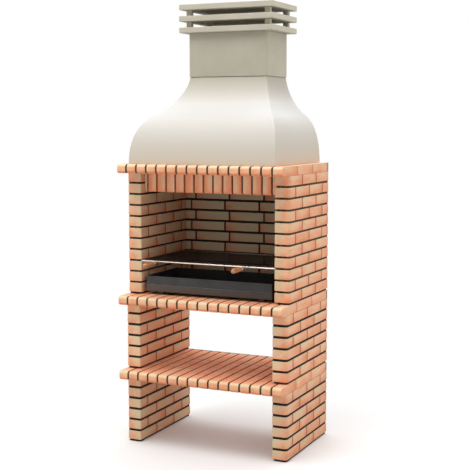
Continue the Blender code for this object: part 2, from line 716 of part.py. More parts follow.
def grill(looks):
    """Welded grate: the frame joined with its wires and cross rods into one solid."""
    outline = rounded((-GRILL_HALF, GRILL_FRONT), (GRILL_HALF, GRILL_BACK), (GRILL_CORNER_RADIUS,) * 4)
    rings = tube_rings(level(outline, GRILL_Z), GRILL_ROD_RADIUS, ROD_SIDES, closed=True)
    frame = loft("grill", rings, [looks["bright_steel"]], (0, GRILL_FRONT, GRILL_Z), looped=True)
    wire_z = GRILL_Z + GRILL_ROD_RADIUS - GRILL_WIRE_RADIUS
    cross_z = wire_z - GRILL_WIRE_RADIUS - SEAT_GAP - GRILL_CROSS_RADIUS
    pitch = 2 * GRILL_HALF / (GRILL_WIRES + 1)
    shape = bmesh.new()
    for index in range(GRILL_WIRES):
        x = (index + 1) * pitch - GRILL_HALF
        run = ((x, GRILL_FRONT, wire_z), (x, GRILL_BACK, wire_z))
        add_loft(shape, tube_rings(run, GRILL_WIRE_RADIUS, WIRE_SIDES))
    for index in range(GRILL_CROSS_RODS):
        y = GRILL_FRONT + (index + 1) * (GRILL_BACK - GRILL_FRONT) / (GRILL_CROSS_RODS + 1)
        run = ((-GRILL_HALF, y, cross_z), (GRILL_HALF, y, cross_z))
        add_loft(shape, tube_rings(run, GRILL_CROSS_RADIUS, WIRE_SIDES))
    wires = helper(make_object("grill_wires", shape, [looks["bright_steel"]], (0, 0, 0)))
    combine(frame, wires, "UNION")
    return [frame]


def turned_ring(y, radius):
    angles = [2 * pi * side / GRIP_SIDES for side in range(GRIP_SIDES)]
    return [(radius * cos(angle), y, radius * sin(angle)) for angle in angles]


def grip(name, looks):
    """Turned wooden grip along -Y from its own origin, bored for the wire."""
    rings = [turned_ring(-GRIP_BORE_DEPTH, GRIP_BORE_RADIUS), turned_ring(0, GRIP_BORE_RADIUS),
             turned_ring(0, GRIP_NECK_RADIUS), turned_ring(-FERRULE_LENGTH, GRIP_NECK_RADIUS)]
    for along, across in GRIP_PROFILE_SHARES:
        rings.append(turned_ring(-along * GRIP_LENGTH, across * GRIP_RADIUS))
    return loft(name, rings, [looks["wood"]], (0, 0, 0))


def ferrule(name, looks):
    """Metal collar round the grip's neck."""
    inner = GRIP_NECK_RADIUS + SEAT_GAP
    outer = inner + FERRULE_WALL
    far = SEAT_GAP - FERRULE_LENGTH
    rings = [turned_ring(0, outer), turned_ring(far, outer), turned_ring(far, inner), turned_ring(0, inner)]
    return loft(name, rings, [looks["bright_steel"]], (0, 0, 0), looped=True)


def hairpin(name, looks):
    """Bent wire from two welds on the front rod into the grip and back."""
    weld = FIREBOX_FRONT - SEAT_GAP - GRIP_END
    half = [(HAIRPIN_SPREAD, weld), (HAIRPIN_SPREAD, weld * (1 - HAIRPIN_BENDS_SHARES[0])),
            (HAIRPIN_HALF_GAP, weld * (1 - HAIRPIN_BENDS_SHARES[1]))]
    turn_y = HAIRPIN_HALF_GAP + HAIRPIN_RADIUS + 2 * SEAT_GAP - GRIP_BORE_DEPTH
    turn = []
    for step in range(HAIRPIN_TURN_STEPS + 1):
        angle = pi * step / HAIRPIN_TURN_STEPS
        turn.append((HAIRPIN_HALF_GAP * cos(angle), turn_y - HAIRPIN_HALF_GAP * sin(angle)))
    path = half + turn + [(-x, y) for x, y in reversed(half)]
    rings = tube_rings(level(path, 0), HAIRPIN_RADIUS, ROD_SIDES)
    return loft(name, rings, [looks["bright_steel"]], (0, 0, 0))


def handles(looks):
    made = []
    for make, noun in ((hairpin, "handle_wire"), (ferrule, "handle_ferrule"), (grip, "handle_grip")):
        left = make(f"{noun}_left", looks)
        left.location = (HANDLE_PLACES["left"], GRIP_END, GRILL_Z)
        right = copy_of(left, f"{noun}_right", (HANDLE_PLACES["right"], GRIP_END, GRILL_Z))
        made += [left, right]
    return made


# Assembly

def group(name, location, pieces):
    """Parent the pieces of one body to an empty at the given place."""
    carrier = bpy.data.objects.new(name, None)
    carrier.location = location
    bpy.context.collection.objects.link(carrier)
    for piece in pieces:
        piece.parent = carrier
        piece.location = piece.location - carrier.location


def build():
    clear_scene()
    looks = all_finishes()
    fixed = (piers(looks) + slabs(looks) + firebox_sides(looks) + firebox_back(looks)
             + lintel_bricks(looks) + lintel_beam(looks) + hood(looks) + chimney(looks) + cap(looks))
    group("masonry", (0, 0, 0), fixed)
    group("tray_slide", (0, TRAY_FRONT, HEARTH_TOP), ember_tray(looks))
    group("grill_slide", (0, GRILL_FRONT, GRILL_Z), grill(looks) + handles(looks))


build()
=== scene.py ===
"""Looks of the outdoor masonry barbecue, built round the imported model.

Each module's bricks, thin joints and mortar are meshes of their own here, and so is every casting,
sheet and wire. Places come from the boxes of the frame's nodes; what the boxes don't say, such as a
joint's width, is named below. Metres, +Z up, -Y is the front.
"""

import json
from itertools import count
from math import ceil, cos, pi, radians, sin

import bmesh
import bpy
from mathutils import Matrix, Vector, noise


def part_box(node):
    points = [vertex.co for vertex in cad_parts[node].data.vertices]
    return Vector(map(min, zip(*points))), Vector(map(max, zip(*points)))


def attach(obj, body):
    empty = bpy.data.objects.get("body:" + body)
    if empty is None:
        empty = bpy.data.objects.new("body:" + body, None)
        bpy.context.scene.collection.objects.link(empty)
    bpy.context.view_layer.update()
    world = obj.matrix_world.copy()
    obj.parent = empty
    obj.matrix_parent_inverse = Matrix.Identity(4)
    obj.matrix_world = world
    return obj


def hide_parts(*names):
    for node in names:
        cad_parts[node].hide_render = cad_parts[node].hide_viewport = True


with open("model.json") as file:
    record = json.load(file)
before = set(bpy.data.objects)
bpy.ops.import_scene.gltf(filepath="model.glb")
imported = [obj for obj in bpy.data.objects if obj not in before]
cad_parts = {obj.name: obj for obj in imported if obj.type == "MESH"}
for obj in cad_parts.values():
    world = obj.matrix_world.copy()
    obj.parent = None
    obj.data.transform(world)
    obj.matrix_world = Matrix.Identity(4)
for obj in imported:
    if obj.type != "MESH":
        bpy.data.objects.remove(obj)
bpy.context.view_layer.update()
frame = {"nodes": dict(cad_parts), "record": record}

# Brickwork
BRICK = 0.05
MORTAR = 0.01
COURSE = BRICK + MORTAR
CORNER_RADIUS = 0.02
INNER_CORNER_RADIUS = 0.008
BRICK_EDGE = 0.002
WIDE_RADIUS = BRICK_EDGE * 2
PIER_SLIMMER = 0.0011
BACK_SLIMMER = 0.001
BRICK_STEP = 0.03
THIN_JOINT = 0.007
THIN_DEPTH = 0.0008
THIN_EDGE = THIN_DEPTH / 3
MORTAR_RECESS = 0.0025
GROOVE = 0.012
GROOVE_FILL = 0.0006
GROOVE_FILL_REACH = GROOVE * 2
TUCK = 0.0015
PIER_SHARES = ((0.31, 0.655), (0.139, 0.482, 0.824))
FIREBOX_SHARES = ((0.311, 0.664), (0.145, 0.486, 0.83))
SLAB_SHARES = (0.31, 0.636)
SLAB_NOSE = 0.016
SLAB_RECESS = 0.0025
SLAB_TOP_RECESS = 0.0022
SLAB_THIN_JOINT = 0.003
SLAB_BACK_STRIP = 0.013
STRIP_GAP = SLAB_THIN_JOINT / 3
STRIP_RECESS = 0.0005
STRIP_BACK_RECESS = STRIP_RECESS * 2
BACK_PITCH = 0.2155
BACK_JOINTS = 4
BACK_SHIFT = 0.0288
BACK_RECESS = 0.0075
LINTEL_NOSE = 0.01
LINTEL_RECESS = 0.01
LINTEL_SLIMMER = 0.002

# How much redder or more tan a module's bricks are, how dark the painted shade on the bricks inside the
# firebox is, and how much darker the lower piers' bricks are painted
BACK_WALL_TONE = 0.1
LINTEL_TONE = -0.12
LOWER_TONE = 0.11
MIDDLE_TONE = 0.08
SLAB_TONE = -0.03
SLAB_END_TONE = 0.04
TONE_SPREAD = 0.1
# How much darker the lower piers' bricks are painted, evenly all over
LOWER_DARKENING = 0.08
# Painted shade on the faces of the firebox's bricks that look into the firebox
BACK_PAINTED_SHADE = 0.32
SIDE_PAINTED_SHADE = 0.12

# How uneven the surfaces are: a wave's height, how many waves go to a metre, and the mortar's mesh step
MORTAR_STEP = 0.012
MORTAR_WAVE = 0.0007
MORTAR_GRAIN = 90
BRICK_WAVE = 0.0004
BRICK_GRAIN = 35
RENDER_WAVE = 0.0006
RENDER_GRAIN = 7

# Softened edges and corners: a side shorter than the undivided length stays whole, an edge takes at
# most its share of a block's thinnest side, and a corner keeps at least its share of its radius
UNDIVIDED = 1.0
SHARP_ANGLE = pi / 4
EDGE_TURNS = 3
CORNER_STEPS = 3
WIDE_CORNER_STEPS = 8
MOST_EDGE_SHARE = 1 / 3
LEAST_CORNER_SHARE = 1 / 3

# Hood
HOOD_WALL = 0.03
HOOD_THROAT = 0.04
HOOD_EDGE = 0.01
HOOD_STEPS = 14
LOWER_CURVE_SHARES = ((0, 0), (0.32, 0), (0.49, 0.2), (0.56, 0.43))
UPPER_CURVE_SHARES = ((0.56, 0.43), (0.68, 0.83), (0.93, 1.0), (1.0, 1.0))
NECK_INSET = 0.002
HOOD_FACE_STEP = 0.05

# Chimney and cap
CHIMNEY_WALL = 0.035
CHIMNEY_EDGE = 0.012
CHIMNEY_INNER_EDGE = CHIMNEY_EDGE / 2
CHIMNEY_RIM = 0.002
BED_RIM_SHARE = 1 / 3
STONE_EDGE = 0.0035
POST_EDGE = STONE_EDGE / 2

# Ember tray
SHEET = 0.003
TRAY_CREASE = 0.037
TRAY_TAPER = 0.003
TRAY_FOLD = 0.004
TRAY_HEM = 0.0045
TRAY_STEP = 0.0028
# Half the height of the painted highlight band on the tray's crease
TRAY_HIGHLIGHT_BAND = 0.0016

# Grill and handles
WIRE_RADIUS = 0.0015
CROSS_RADIUS = 0.002
GRILL_CORNER = 0.012
GRILL_WIRES = 52
CROSS_RODS = 9
WELD_RADIUS = 0.0042
WELD_STRETCH = 1.3
WELD_SIDES = 14
WELD_RINGS = 8
ROD_SIDES = 16
WIRE_SIDES = 8
TURNED_SIDES = 40
HAIRPIN_RADIUS = 0.002
HAIRPIN_HALF_GAP = 0.0026
HAIRPIN_SPREAD = 0.012
HAIRPIN_BEND_SHARES = (0.2, 0.8)
FERRULE_WALL = 0.0022
FERRULE_BEAD_SHARE = 1 / 8
BEAD_SLOPE_SHARE = 1.5
GRIP_BORE = 0.005
GRIP_PROFILE_SHARES = (
    (0.0, 0.577), (0.129, 0.577), (0.15, 0.62), (0.18, 0.68), (0.24, 0.78), (0.3, 0.86), (0.4, 0.92),
    (0.5, 0.95), (0.63, 0.99), (0.75, 1.0), (0.84, 0.96), (0.9, 0.88), (0.945, 0.76), (0.975, 0.56),
    (0.992, 0.34), (1.0, 0.12),
)

# Shine of each look
ROUGHNESS = {"brick": 0.9, "thin_joint": 0.95, "mortar": 0.97, "dark_mortar": 0.97, "render": 0.82,
             "cast_stone": 0.86, "black_steel": 0.5, "sooted_steel": 0.9, "smoked_wire": 0.55,
             "bright_steel": 0.24, "wood": 0.42}
METALLIC = {"black_steel": 0.35, "smoked_wire": 0.6, "bright_steel": 1.0}

# For the looks below: a noise is its waves to a metre, on all axes or on each, and its detail; a tint
# is its lowest and highest level; a relief is its height in metres and its strength; colours are
# places on the noise with the red, green and blue of the screen, 0 to 255

# Looks that one noise makes: the noise, its colours and its relief
GRAINY_LOOKS = {
    "thin_joint": ((240, 3), ((0.3, (124, 62, 40)), (0.7, (150, 84, 56))), (0.0006, 1)),
    # Near-black mortar: the piers' own dark joints, plus painted shade in the firebox's joints and a painted
    # contact shadow in the beds under the lower piers' feet
    "dark_mortar": ((240, 4), ((0.3, (17, 13, 8)), (0.7, (34, 26, 17))), (0.001, 1)),
    # Near-black steel on the tray's inside: painted shade
    "sooted_steel": ((40, 5), ((0.35, (16, 15, 14)), (0.7, (34, 32, 31))), (0.0006, 1)),
    # Dark steel on the grill's wires: painted shade under the hood
    "smoked_wire": ((30, 4), ((0.35, (34, 29, 26)), (0.7, (62, 54, 48))), (0.0003, 1)),
}

# Brick look
BRICK_CLOUDS = ((8, 26, 26), 1.5)
BRICK_STREAKS = ((9, 60, 170), 2)
BRICK_SAND = (420, 3)
BRICK_SAND_TINT = (0.88, 1.1)
BRICK_COARSE = (110, 4)
BRICK_PITS = 160
COARSE_SHARE = 0.7
PITS_SHARE = 0.3
BRICK_RELIEF = (0.0012, 0.5)
BRICK_COLOURS = ((0.2, (230, 147, 102)), (0.42, (240, 175, 137)), (0.55, (238, 192, 153)),
                 (0.68, (231, 202, 161)), (0.85, (226, 208, 172)))
# Scales the brick colour down by its darkening: painted shade inside the firebox, and an even darkening of
# the lower piers
DARKENING_TINT = (1, 0)
SEED_DRIFT = 60
END_POWER = 4
TOP_END_POWER = 2

# What each trait of a place on a brick adds to its tan
TAN_CLOUDS = 0.6
TAN_STREAKS = 0.16
TAN_ENDS = -0.16
TAN_REDDER_FRONT = -0.2
TAN_FRONT = 0.2
TAN_REDDER_SIDE = -0.05
TAN_SIDE = 0.03
# Painted highlight and shade: a front face is paler where it curves up over a nose and redder where it curves
# under
TAN_FRONT_TILT_LIGHT = 0.5
# Painted shade makes top faces redder, and a painted highlight makes them paler towards their ends
TAN_TOP_SHADE = -0.13
TAN_TOP_ENDS_HIGHLIGHT = 0.24
TAN_UP = 0.11
TAN_SIDE_BACK = -0.07

# Mortar look, with dust on faces that look up: from the slope's first value, fully from its second
MORTAR_PATCHES = (28, 3)
MORTAR_COLOURS = ((0.3, (50, 41, 24)), (0.7, (76, 64, 38)))
DUSTED_COLOURS = ((0.3, (70, 37, 21)), (0.7, (96, 53, 32)))
DUST_SLOPE = (0.6, 0.9)
MORTAR_SAND = (480, 2)
MORTAR_SAND_TINT = (0.7, 1.35)
MORTAR_RELIEF = (0.001, 1)

# Render look; its colours, the render's own with painted light and shade, go from the hood's foot to its
# neck: a painted reflection of the bricks warms the foot, a painted highlight whitens the swell, and painted
# shade darkens the neck
RENDER_LIGHT_AND_SHADE_COLOURS = ((0.0, (205, 193, 175)), (0.2, (198, 190, 177)), (0.36, (198, 193, 184)),
                  (0.6, (205, 203, 200)), (0.7, (208, 205, 200)), (0.86, (189, 183, 171)),
                  (1.0, (179, 173, 158)))
# Painted light: side faces lighter than front faces
RENDER_SIDE_LIGHT_TINT = (1, 1.09)
RENDER_CLOUDS = (5, 3)
RENDER_CLOUD_TINT = (0.98, 1.02)
RENDER_SAND = (500, 3)
RENDER_SAND_TINT = (0.965, 1.02)
RENDER_SAND_SHARE = 0.5
RENDER_FLOATED = ((60, 60, 30), 4)
RENDER_RELIEF = (0.0007, 0.5)

# Cast stone look; the cap starts at a share of the chimney block's height
STONE_CLOUDS = (9, 4)
STONE_COLOURS = ((0.3, (188, 181, 162)), (0.7, (197, 190, 172)))
CAP_START = 0.999
STONE_CAP_TINT = (0.9, 1.03)
# Painted light: front faces darker, side faces lighter
STONE_SIDE_LIGHT_TINT = (0.89, 1.14)
STONE_SAND = (380, 3)
STONE_SAND_TINT = (0.93, 1.04)
STONE_SAND_SHARE = 0.4
STONE_HOLES = 95
STONE_HOLE_SPAN = (0, 0.22)
STONE_RELIEF = (0.0006, 0.6)

# Black steel look; across is from left to right, where painted shade darkens it; lower is below the tray's
# crease, where a painted reflection of the bricks makes it browner; a painted highlight band lies on the
# crease
STEEL_ROLLED = ((4, 90, 90), 3)
STEEL_ROLLED_TINT = (0.85, 1.15)
STEEL_PATCHES = (14, 3)
STEEL_COLOURS = ((0.35, (56, 57, 58)), (0.7, (71, 73, 74)))
# Painted light on the tray's front: a browner painted reflection of the bricks below the crease, a painted
# highlight on the crease, and painted shade darker to the right
STEEL_LOWER_REFLECTION_COLOUR = (88, 82, 76)
STEEL_HIGHLIGHT_COLOUR = (118, 118, 118)
STEEL_ACROSS_SHADE_TINT = (0.97, 0.5)
STEEL_DULLNESS = (0.42, 0.62)
STEEL_RELIEF = (0.0003, 0.5)

# Bright steel look
WIRE_HEAT = (12, 2)
WIRE_COLOURS = ((0.3, (232, 226, 222)), (0.7, (226, 212, 198)))
WIRE_DRAWN = (300, 2)
WIRE_RELIEF = (0.0001, 0.4)

# Wood look
WOOD_VARNISH = 0.35
WOOD_RINGS = ((160, 9, 160), 3)
WOOD_FLECKS = ((700, 60, 700), 2)
WOOD_COLOURS = ((0.3, (150, 92, 54)), (0.5, (190, 128, 82)), (0.72, (214, 158, 108)))
WOOD_FLECK_TINT = (0.85, 1.1)
WOOD_RELIEF = (0.0002, 0.5)

# Camera, fitted to the photograph
LENS_MM = 81.91
SENSOR_MM = 36
CAMERA_PLACE = (2.4942, -5.1998, 1.7560)
CAMERA_TURN = (83.922, 0, 24.928)

# Sky and floor
SKY_LEVEL = 0.28
SKY_RISE = 1.1
SKY_BEHIND = 1.3
SKY_BEHIND_POWER = 2
FLOOR_SIZE = 60
FLOOR_GREY = 0.6
FLOOR_SEEN_GREY = 0.8
FLOOR_ROUGHNESS = 0.9
FLOOR_LIFT = 0.03
SHADOW_MIDDLE = (0.1, -0.35, 0)
SHADOW_REACH = 0.75
SHADOW_END = 1.9

# Lamps: place, what it looks at, size and watts
LAMPS = {
    "key": ((-0.8, -1.7, 5.5), (0, 0, 1), 2.4, 115),
    "fill": ((-0.6, -4.3, 0.9), (0, 0, 1), 1.5, 8),
    "back": ((0.2, 2.0, 5.0), (0, 0, 0.5), 2, 45),
    "side": ((3.6, -0.4, 2.4), (0, 0, 1.2), 1.2, 6),
}

# Ways to lay a prism: which axes its outline uses, and which one it runs along
UPRIGHT = (0, 1, 2)
ACROSS = (1, 2, 0)

# Spreads the bricks' seeds evenly between 0 and 1
GOLDEN_SHARE = 0.618034
brick_numbers = count(1)


# Materials

def linear(red, green, blue):
    """A screen colour, 0 to 255, as the shader's linear colour, by the standard curve of screens."""
    made = []
    for value in (red, green, blue):
        share = value / 255
        made.append(share / 12.92 if share <= 0.04045 else ((share + 0.055) / 1.055) ** 2.4)
    return (*made, 1.0)


def new_look(name):
    made = bpy.data.materials.new(name)
    made.use_nodes = True
    shader = made.node_tree.nodes["Principled BSDF"]
    shader.inputs["Roughness"].default_value = ROUGHNESS[name]
    shader.inputs["Metallic"].default_value = METALLIC.get(name, 0)
    return made


def add_node(look, kind, inputs, **settings):
    """A shader node; inputs takes plain values and other nodes' outputs."""
    made = look.node_tree.nodes.new(kind)
    for key, value in settings.items():
        setattr(made, key, value)
    for key, value in inputs.items():
        if isinstance(value, bpy.types.NodeSocket):
            look.node_tree.links.new(value, made.inputs[key])
        else:
            made.inputs[key].default_value = value
    return made


def link_shader(look, key, output):
    look.node_tree.links.new(output, look.node_tree.nodes["Principled BSDF"].inputs[key])


def maths(look, operation, *values):
    return add_node(look, "ShaderNodeMath", dict(enumerate(values)), operation=operation).outputs[0]


def axes(look, vector):
    return add_node(look, "ShaderNodeSeparateXYZ", {0: vector}).outputs


def noise_of(look, vector, scale, detail, seed=None):
    """Noise with one scale, or with one for each axis."""
    if isinstance(scale, tuple):
        stretched = add_node(look, "ShaderNodeVectorMath", {0: vector, 1: scale}, operation="MULTIPLY")
        vector = stretched.outputs[0]
        scale = 1
    inputs = {"Vector": vector, "Scale": scale, "Detail": detail}
    dimensions = "3D"
    if seed is not None:
        inputs["W"] = seed
        dimensions = "4D"
    return add_node(look, "ShaderNodeTexNoise", inputs, noise_dimensions=dimensions).outputs["Fac"]


def cells(look, vector, scale):
    return add_node(look, "ShaderNodeTexVoronoi", {"Vector": vector, "Scale": scale}).outputs["Distance"]


def object_place(look):
    return add_node(look, "ShaderNodeTexCoord", {}).outputs["Object"]


def noted(look, name, output="Fac"):
    """What a piece's mesh notes on its corners."""
    return add_node(look, "ShaderNodeAttribute", {}, attribute_name=name).outputs[output]


def facing(look):
    """How far a face looks along each axis."""
    return axes(look, add_node(look, "ShaderNodeNewGeometry", {}).outputs["Normal"])


def aside(look):
    """1 on a face that looks left or right, 0 on one that looks forwards, backwards or up."""
    across = facing(look)[0]
    return maths(look, "MULTIPLY", across, across)


def mapped(look, value, span=(0, 1), onto=(0, 1)):
    """A value clamped to a span, and moved onto another one."""
    inputs = {"Value": value, "From Min": span[0], "From Max": span[1], "To Min": onto[0], "To Max": onto[1]}
    return add_node(look, "ShaderNodeMapRange", inputs).outputs[0]


def height_share(look, place, node):
    """How far up a node's box a place is, from 0 to 1."""
    low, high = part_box(node)
    return mapped(look, axes(look, place)[2], (low.z, high.z))


def ramp(look, factor, stops):
    made = add_node(look, "ShaderNodeValToRGB", {"Fac": factor})
    elements = made.color_ramp.elements
    while len(elements) < len(stops):
        elements.new(1)
    for element, (place, colour) in zip(elements, stops):
        element.position = place
        element.color = linear(*colour)
    return made.outputs["Color"]


def mixed(look, factor, first, second):
    inputs = {"Factor": factor, 6: first, 7: second}
    return add_node(look, "ShaderNodeMix", inputs, data_type="RGBA").outputs[2]


def tinted(look, colour, factor, levels):
    """The colour times a level, which goes from the first to the second as the factor goes from 0 to 1."""
    inputs = {0: colour, "Scale": mapped(look, factor, onto=levels)}
    return add_node(look, "ShaderNodeVectorMath", inputs, operation="SCALE").outputs[0]


def bump(look, height, relief):
    made = add_node(look, "ShaderNodeBump", {"Height": height, "Distance": relief[0], "Strength": relief[1]})
    link_shader(look, "Normal", made.outputs["Normal"])


def grainy_look(name):
    look = new_look(name)
    waves, colours, relief = GRAINY_LOOKS[name]
    grain = noise_of(look, object_place(look), *waves)
    link_shader(look, "Base Color", ramp(look, grain, colours))
    bump(look, grain, relief)
    return look


def brick_look():
    """Fired clay: salmon at the ends and the outer side, tan elsewhere, sandy, streaked and finely pitted;
    painted light makes it paler over rounded upper edges and the ends of top faces, redder under rounded
    lower edges and on top faces, and darker inside the firebox.
    """
    look = new_look("brick")
    place = noted(look, "brick_place", "Vector")
    drift = maths(look, "MULTIPLY", noted(look, "brick_seed"), SEED_DRIFT)
    along, redder, up = axes(look, noted(look, "brick_shares", "Vector"))
    across, forwards, upwards = facing(look)
    side = maths(look, "ABSOLUTE", across)
    front = maths(look, "ABSOLUTE", forwards)
    top = maths(look, "MAXIMUM", upwards, 0)
    traits = (
        (noise_of(look, place, *BRICK_CLOUDS, drift), TAN_CLOUDS),
        (noise_of(look, place, *BRICK_STREAKS, drift), TAN_STREAKS),
        (maths(look, "POWER", maths(look, "ABSOLUTE", along), END_POWER), TAN_ENDS),
        (maths(look, "MULTIPLY", redder, front), TAN_REDDER_FRONT),
        (front, TAN_FRONT),
        (maths(look, "MULTIPLY", redder, side), TAN_REDDER_SIDE),
        (side, TAN_SIDE),
        # Painted light on the slabs: highlights on rounded upper edges and top faces' ends, shade on rounded
        # lower edges and top faces
        (maths(look, "MULTIPLY", front, upwards), TAN_FRONT_TILT_LIGHT),
        (top, TAN_TOP_SHADE),
        (maths(look, "MULTIPLY", top, maths(look, "POWER", along, TOP_END_POWER)), TAN_TOP_ENDS_HIGHLIGHT),
        (up, TAN_UP),
        (maths(look, "MULTIPLY", along, side), TAN_SIDE_BACK),
    )
    tan = noted(look, "brick_tone")
    for trait, weight in traits:
        tan = maths(look, "MULTIPLY_ADD", trait, weight, tan)
    colour = ramp(look, tan, BRICK_COLOURS)
    colour = tinted(look, colour, noise_of(look, place, *BRICK_SAND), BRICK_SAND_TINT)
    # Painted shade darkens the bricks inside the firebox, and the lower piers' bricks are darkened evenly
    link_shader(look, "Base Color", tinted(look, colour, noted(look, "brick_soot"), DARKENING_TINT))
    pits = maths(look, "MULTIPLY", cells(look, place, BRICK_PITS), PITS_SHARE)
    coarse = noise_of(look, place, *BRICK_COARSE)
    bump(look, maths(look, "MULTIPLY_ADD", coarse, COARSE_SHARE, pits), BRICK_RELIEF)
    return look


def mortar_look():
    """Dark brown mortar with pale sand grains, redder with brick dust where it faces up."""
    look = new_look("mortar")
    place = object_place(look)
    patches = noise_of(look, place, *MORTAR_PATCHES)
    dust = mapped(look, facing(look)[2], DUST_SLOPE)
    colour = mixed(look, dust, ramp(look, patches, MORTAR_COLOURS), ramp(look, patches, DUSTED_COLOURS))
    sand = noise_of(look, place, *MORTAR_SAND)
    link_shader(look, "Base Color", tinted(look, colour, sand, MORTAR_SAND_TINT))
    bump(look, sand, MORTAR_RELIEF)
    return look


def render_look():
    """Float finished render; painted light makes it white on the swell, warm at the foot with a painted
    reflection of the bricks, darker at the neck with painted shade, and lighter on the side faces.
    """
    look = new_look("render")
    place = object_place(look)
    # The render's colour with painted light and shade by height, and painted light on its side faces
    colour = ramp(look, height_share(look, place, "hood"), RENDER_LIGHT_AND_SHADE_COLOURS)
    colour = tinted(look, colour, aside(look), RENDER_SIDE_LIGHT_TINT)
    colour = tinted(look, colour, noise_of(look, place, *RENDER_CLOUDS), RENDER_CLOUD_TINT)
    sand = noise_of(look, place, *RENDER_SAND)
    link_shader(look, "Base Color", tinted(look, colour, sand, RENDER_SAND_TINT))
    floated = noise_of(look, place, *RENDER_FLOATED)
    bump(look, maths(look, "MULTIPLY_ADD", sand, RENDER_SAND_SHARE, floated), RENDER_RELIEF)
    return look


def cast_stone_look():
    """Beige-grey cast concrete with small air holes, darker on the block and paler on the cap; painted light
    makes the front faces darker and the side faces lighter.
    """
    look = new_look("cast_stone")
    place = object_place(look)
    colour = ramp(look, noise_of(look, place, *STONE_CLOUDS), STONE_COLOURS)
    on_cap = maths(look, "GREATER_THAN", height_share(look, place, "chimney_block"), CAP_START)
    colour = tinted(look, colour, on_cap, STONE_CAP_TINT)
    # Painted light: front faces darker and side faces lighter
    colour = tinted(look, colour, aside(look), STONE_SIDE_LIGHT_TINT)
    sand = noise_of(look, place, *STONE_SAND)
    link_shader(look, "Base Color", tinted(look, colour, sand, STONE_SAND_TINT))
    sunk = mapped(look, cells(look, place, STONE_HOLES), STONE_HOLE_SPAN)
    bump(look, maths(look, "MULTIPLY_ADD", sand, STONE_SAND_SHARE, sunk), STONE_RELIEF)
    return look


def black_steel_look():
    """Dark rolled sheet with dull patches; browner below the crease with a painted reflection of the bricks,
    a painted highlight on the crease, and darker to the right with painted shade.
    """
    look = new_look("black_steel")
    place = object_place(look)
    low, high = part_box("ember_tray")
    across, _, height = axes(look, place)
    above = maths(look, "SUBTRACT", height, low.z + TRAY_CREASE)
    patches = noise_of(look, place, *STEEL_PATCHES)
    colour = ramp(look, patches, STEEL_COLOURS)
    # Below the crease: browner, a painted reflection of the bricks
    colour = mixed(look, maths(look, "LESS_THAN", above, 0), colour, linear(*STEEL_LOWER_REFLECTION_COLOUR))
    # On the crease: a pale band, a painted highlight
    crease_highlight = maths(look, "LESS_THAN", maths(look, "ABSOLUTE", above), TRAY_HIGHLIGHT_BAND)
    colour = mixed(look, crease_highlight, colour, linear(*STEEL_HIGHLIGHT_COLOUR))
    # Painted shade: darker towards the right
    colour = tinted(look, colour, mapped(look, across, (low.x, high.x)), STEEL_ACROSS_SHADE_TINT)
    rolled = noise_of(look, place, *STEEL_ROLLED)
    link_shader(look, "Base Color", tinted(look, colour, rolled, STEEL_ROLLED_TINT))
    link_shader(look, "Roughness", mapped(look, patches, onto=STEEL_DULLNESS))
    bump(look, rolled, STEEL_RELIEF)
    return look


def bright_steel_look():
    """Bright drawn wire with a slight heat tint."""
    look = new_look("bright_steel")
    place = object_place(look)
    link_shader(look, "Base Color", ramp(look, noise_of(look, place, *WIRE_HEAT), WIRE_COLOURS))
    bump(look, noise_of(look, place, *WIRE_DRAWN), WIRE_RELIEF)
    return look


def wood_look():
    """Varnished beech turned along its grain."""
    look = new_look("wood")
    look.node_tree.nodes["Principled BSDF"].inputs["Coat Weight"].default_value = WOOD_VARNISH
    place = object_place(look)
    colour = ramp(look, noise_of(look, place, *WOOD_RINGS), WOOD_COLOURS)
    flecks = noise_of(look, place, *WOOD_FLECKS)
    link_shader(look, "Base Color", tinted(look, colour, flecks, WOOD_FLECK_TINT))
    bump(look, flecks, WOOD_RELIEF)
    return look


LOOKS = {
    "brick": brick_look(),
    "mortar": mortar_look(),
    "render": render_look(),
    "cast_stone": cast_stone_look(),
    "black_steel": black_steel_look(),
    "bright_steel": bright_steel_look(),
    "wood": wood_look(),
}
LOOKS.update((name, grainy_look(name)) for name in GRAINY_LOOKS)


# Outlines

def corner_steps(radii):
    """More points round the wide corners."""
    return [WIDE_CORNER_STEPS if radius > WIDE_RADIUS else CORNER_STEPS for radius in radii]


def rounded(low, high, radii, steps=None):
    """Rectangle with rounded corners, anticlockwise from low, low."""
    steps = steps or corner_steps(radii)
    corners = ((low[0], low[1], 1, 1), (high[0], low[1], -1, 1),
               (high[0], high[1], -1, -1), (low[0], high[1], 1, -1))
    points = []
    for turn, (corner, radius, parts) in enumerate(zip(corners, radii, steps)):
        centre = (corner[0] + corner[2] * radius, corner[1] + corner[3] * radius)
        for part in range(parts + 1):
            angle = pi + (turn + part / parts) * pi / 2
            points.append((centre[0] + radius * cos(angle), centre[1] + radius * sin(angle)))
    return points


def sides_of(points, step):
    """How many parts each side of an outline is divided into."""
    return [max(1, ceil((Vector(there) - Vector(here)).length / step))
            for here, there in zip(points, points[1:] + points[:1])]


def split(points, parts):
    """The closed outline with extra points on its sides."""
    made = []
    for here, there, number in zip(points, points[1:] + points[:1], parts):
        made += [tuple(Vector(here).lerp(Vector(there), part / number)) for part in range(number)]
    return made


def level_ring(low, high, inset, radius, level):
    """A rounded rectangle at a height, drawn in from a box."""
    outline = rounded((low.x + inset, low.y + inset), (high.x - inset, high.y - inset), (radius,) * 4)
    return [(x, y, level) for x, y in outline]


def soft_ends(low, high, edge):
    """How far a block's outline draws in at each level, so that both its ends are rounded."""
    turns = [turn / EDGE_TURNS * pi / 2 for turn in range(EDGE_TURNS + 1)]
    near = [(edge * (1 - sin(turn)), low + edge * (1 - cos(turn))) for turn in turns]
    far = [(inset, high + low - level) for inset, level in reversed(near)]
    return near + far


# Solids

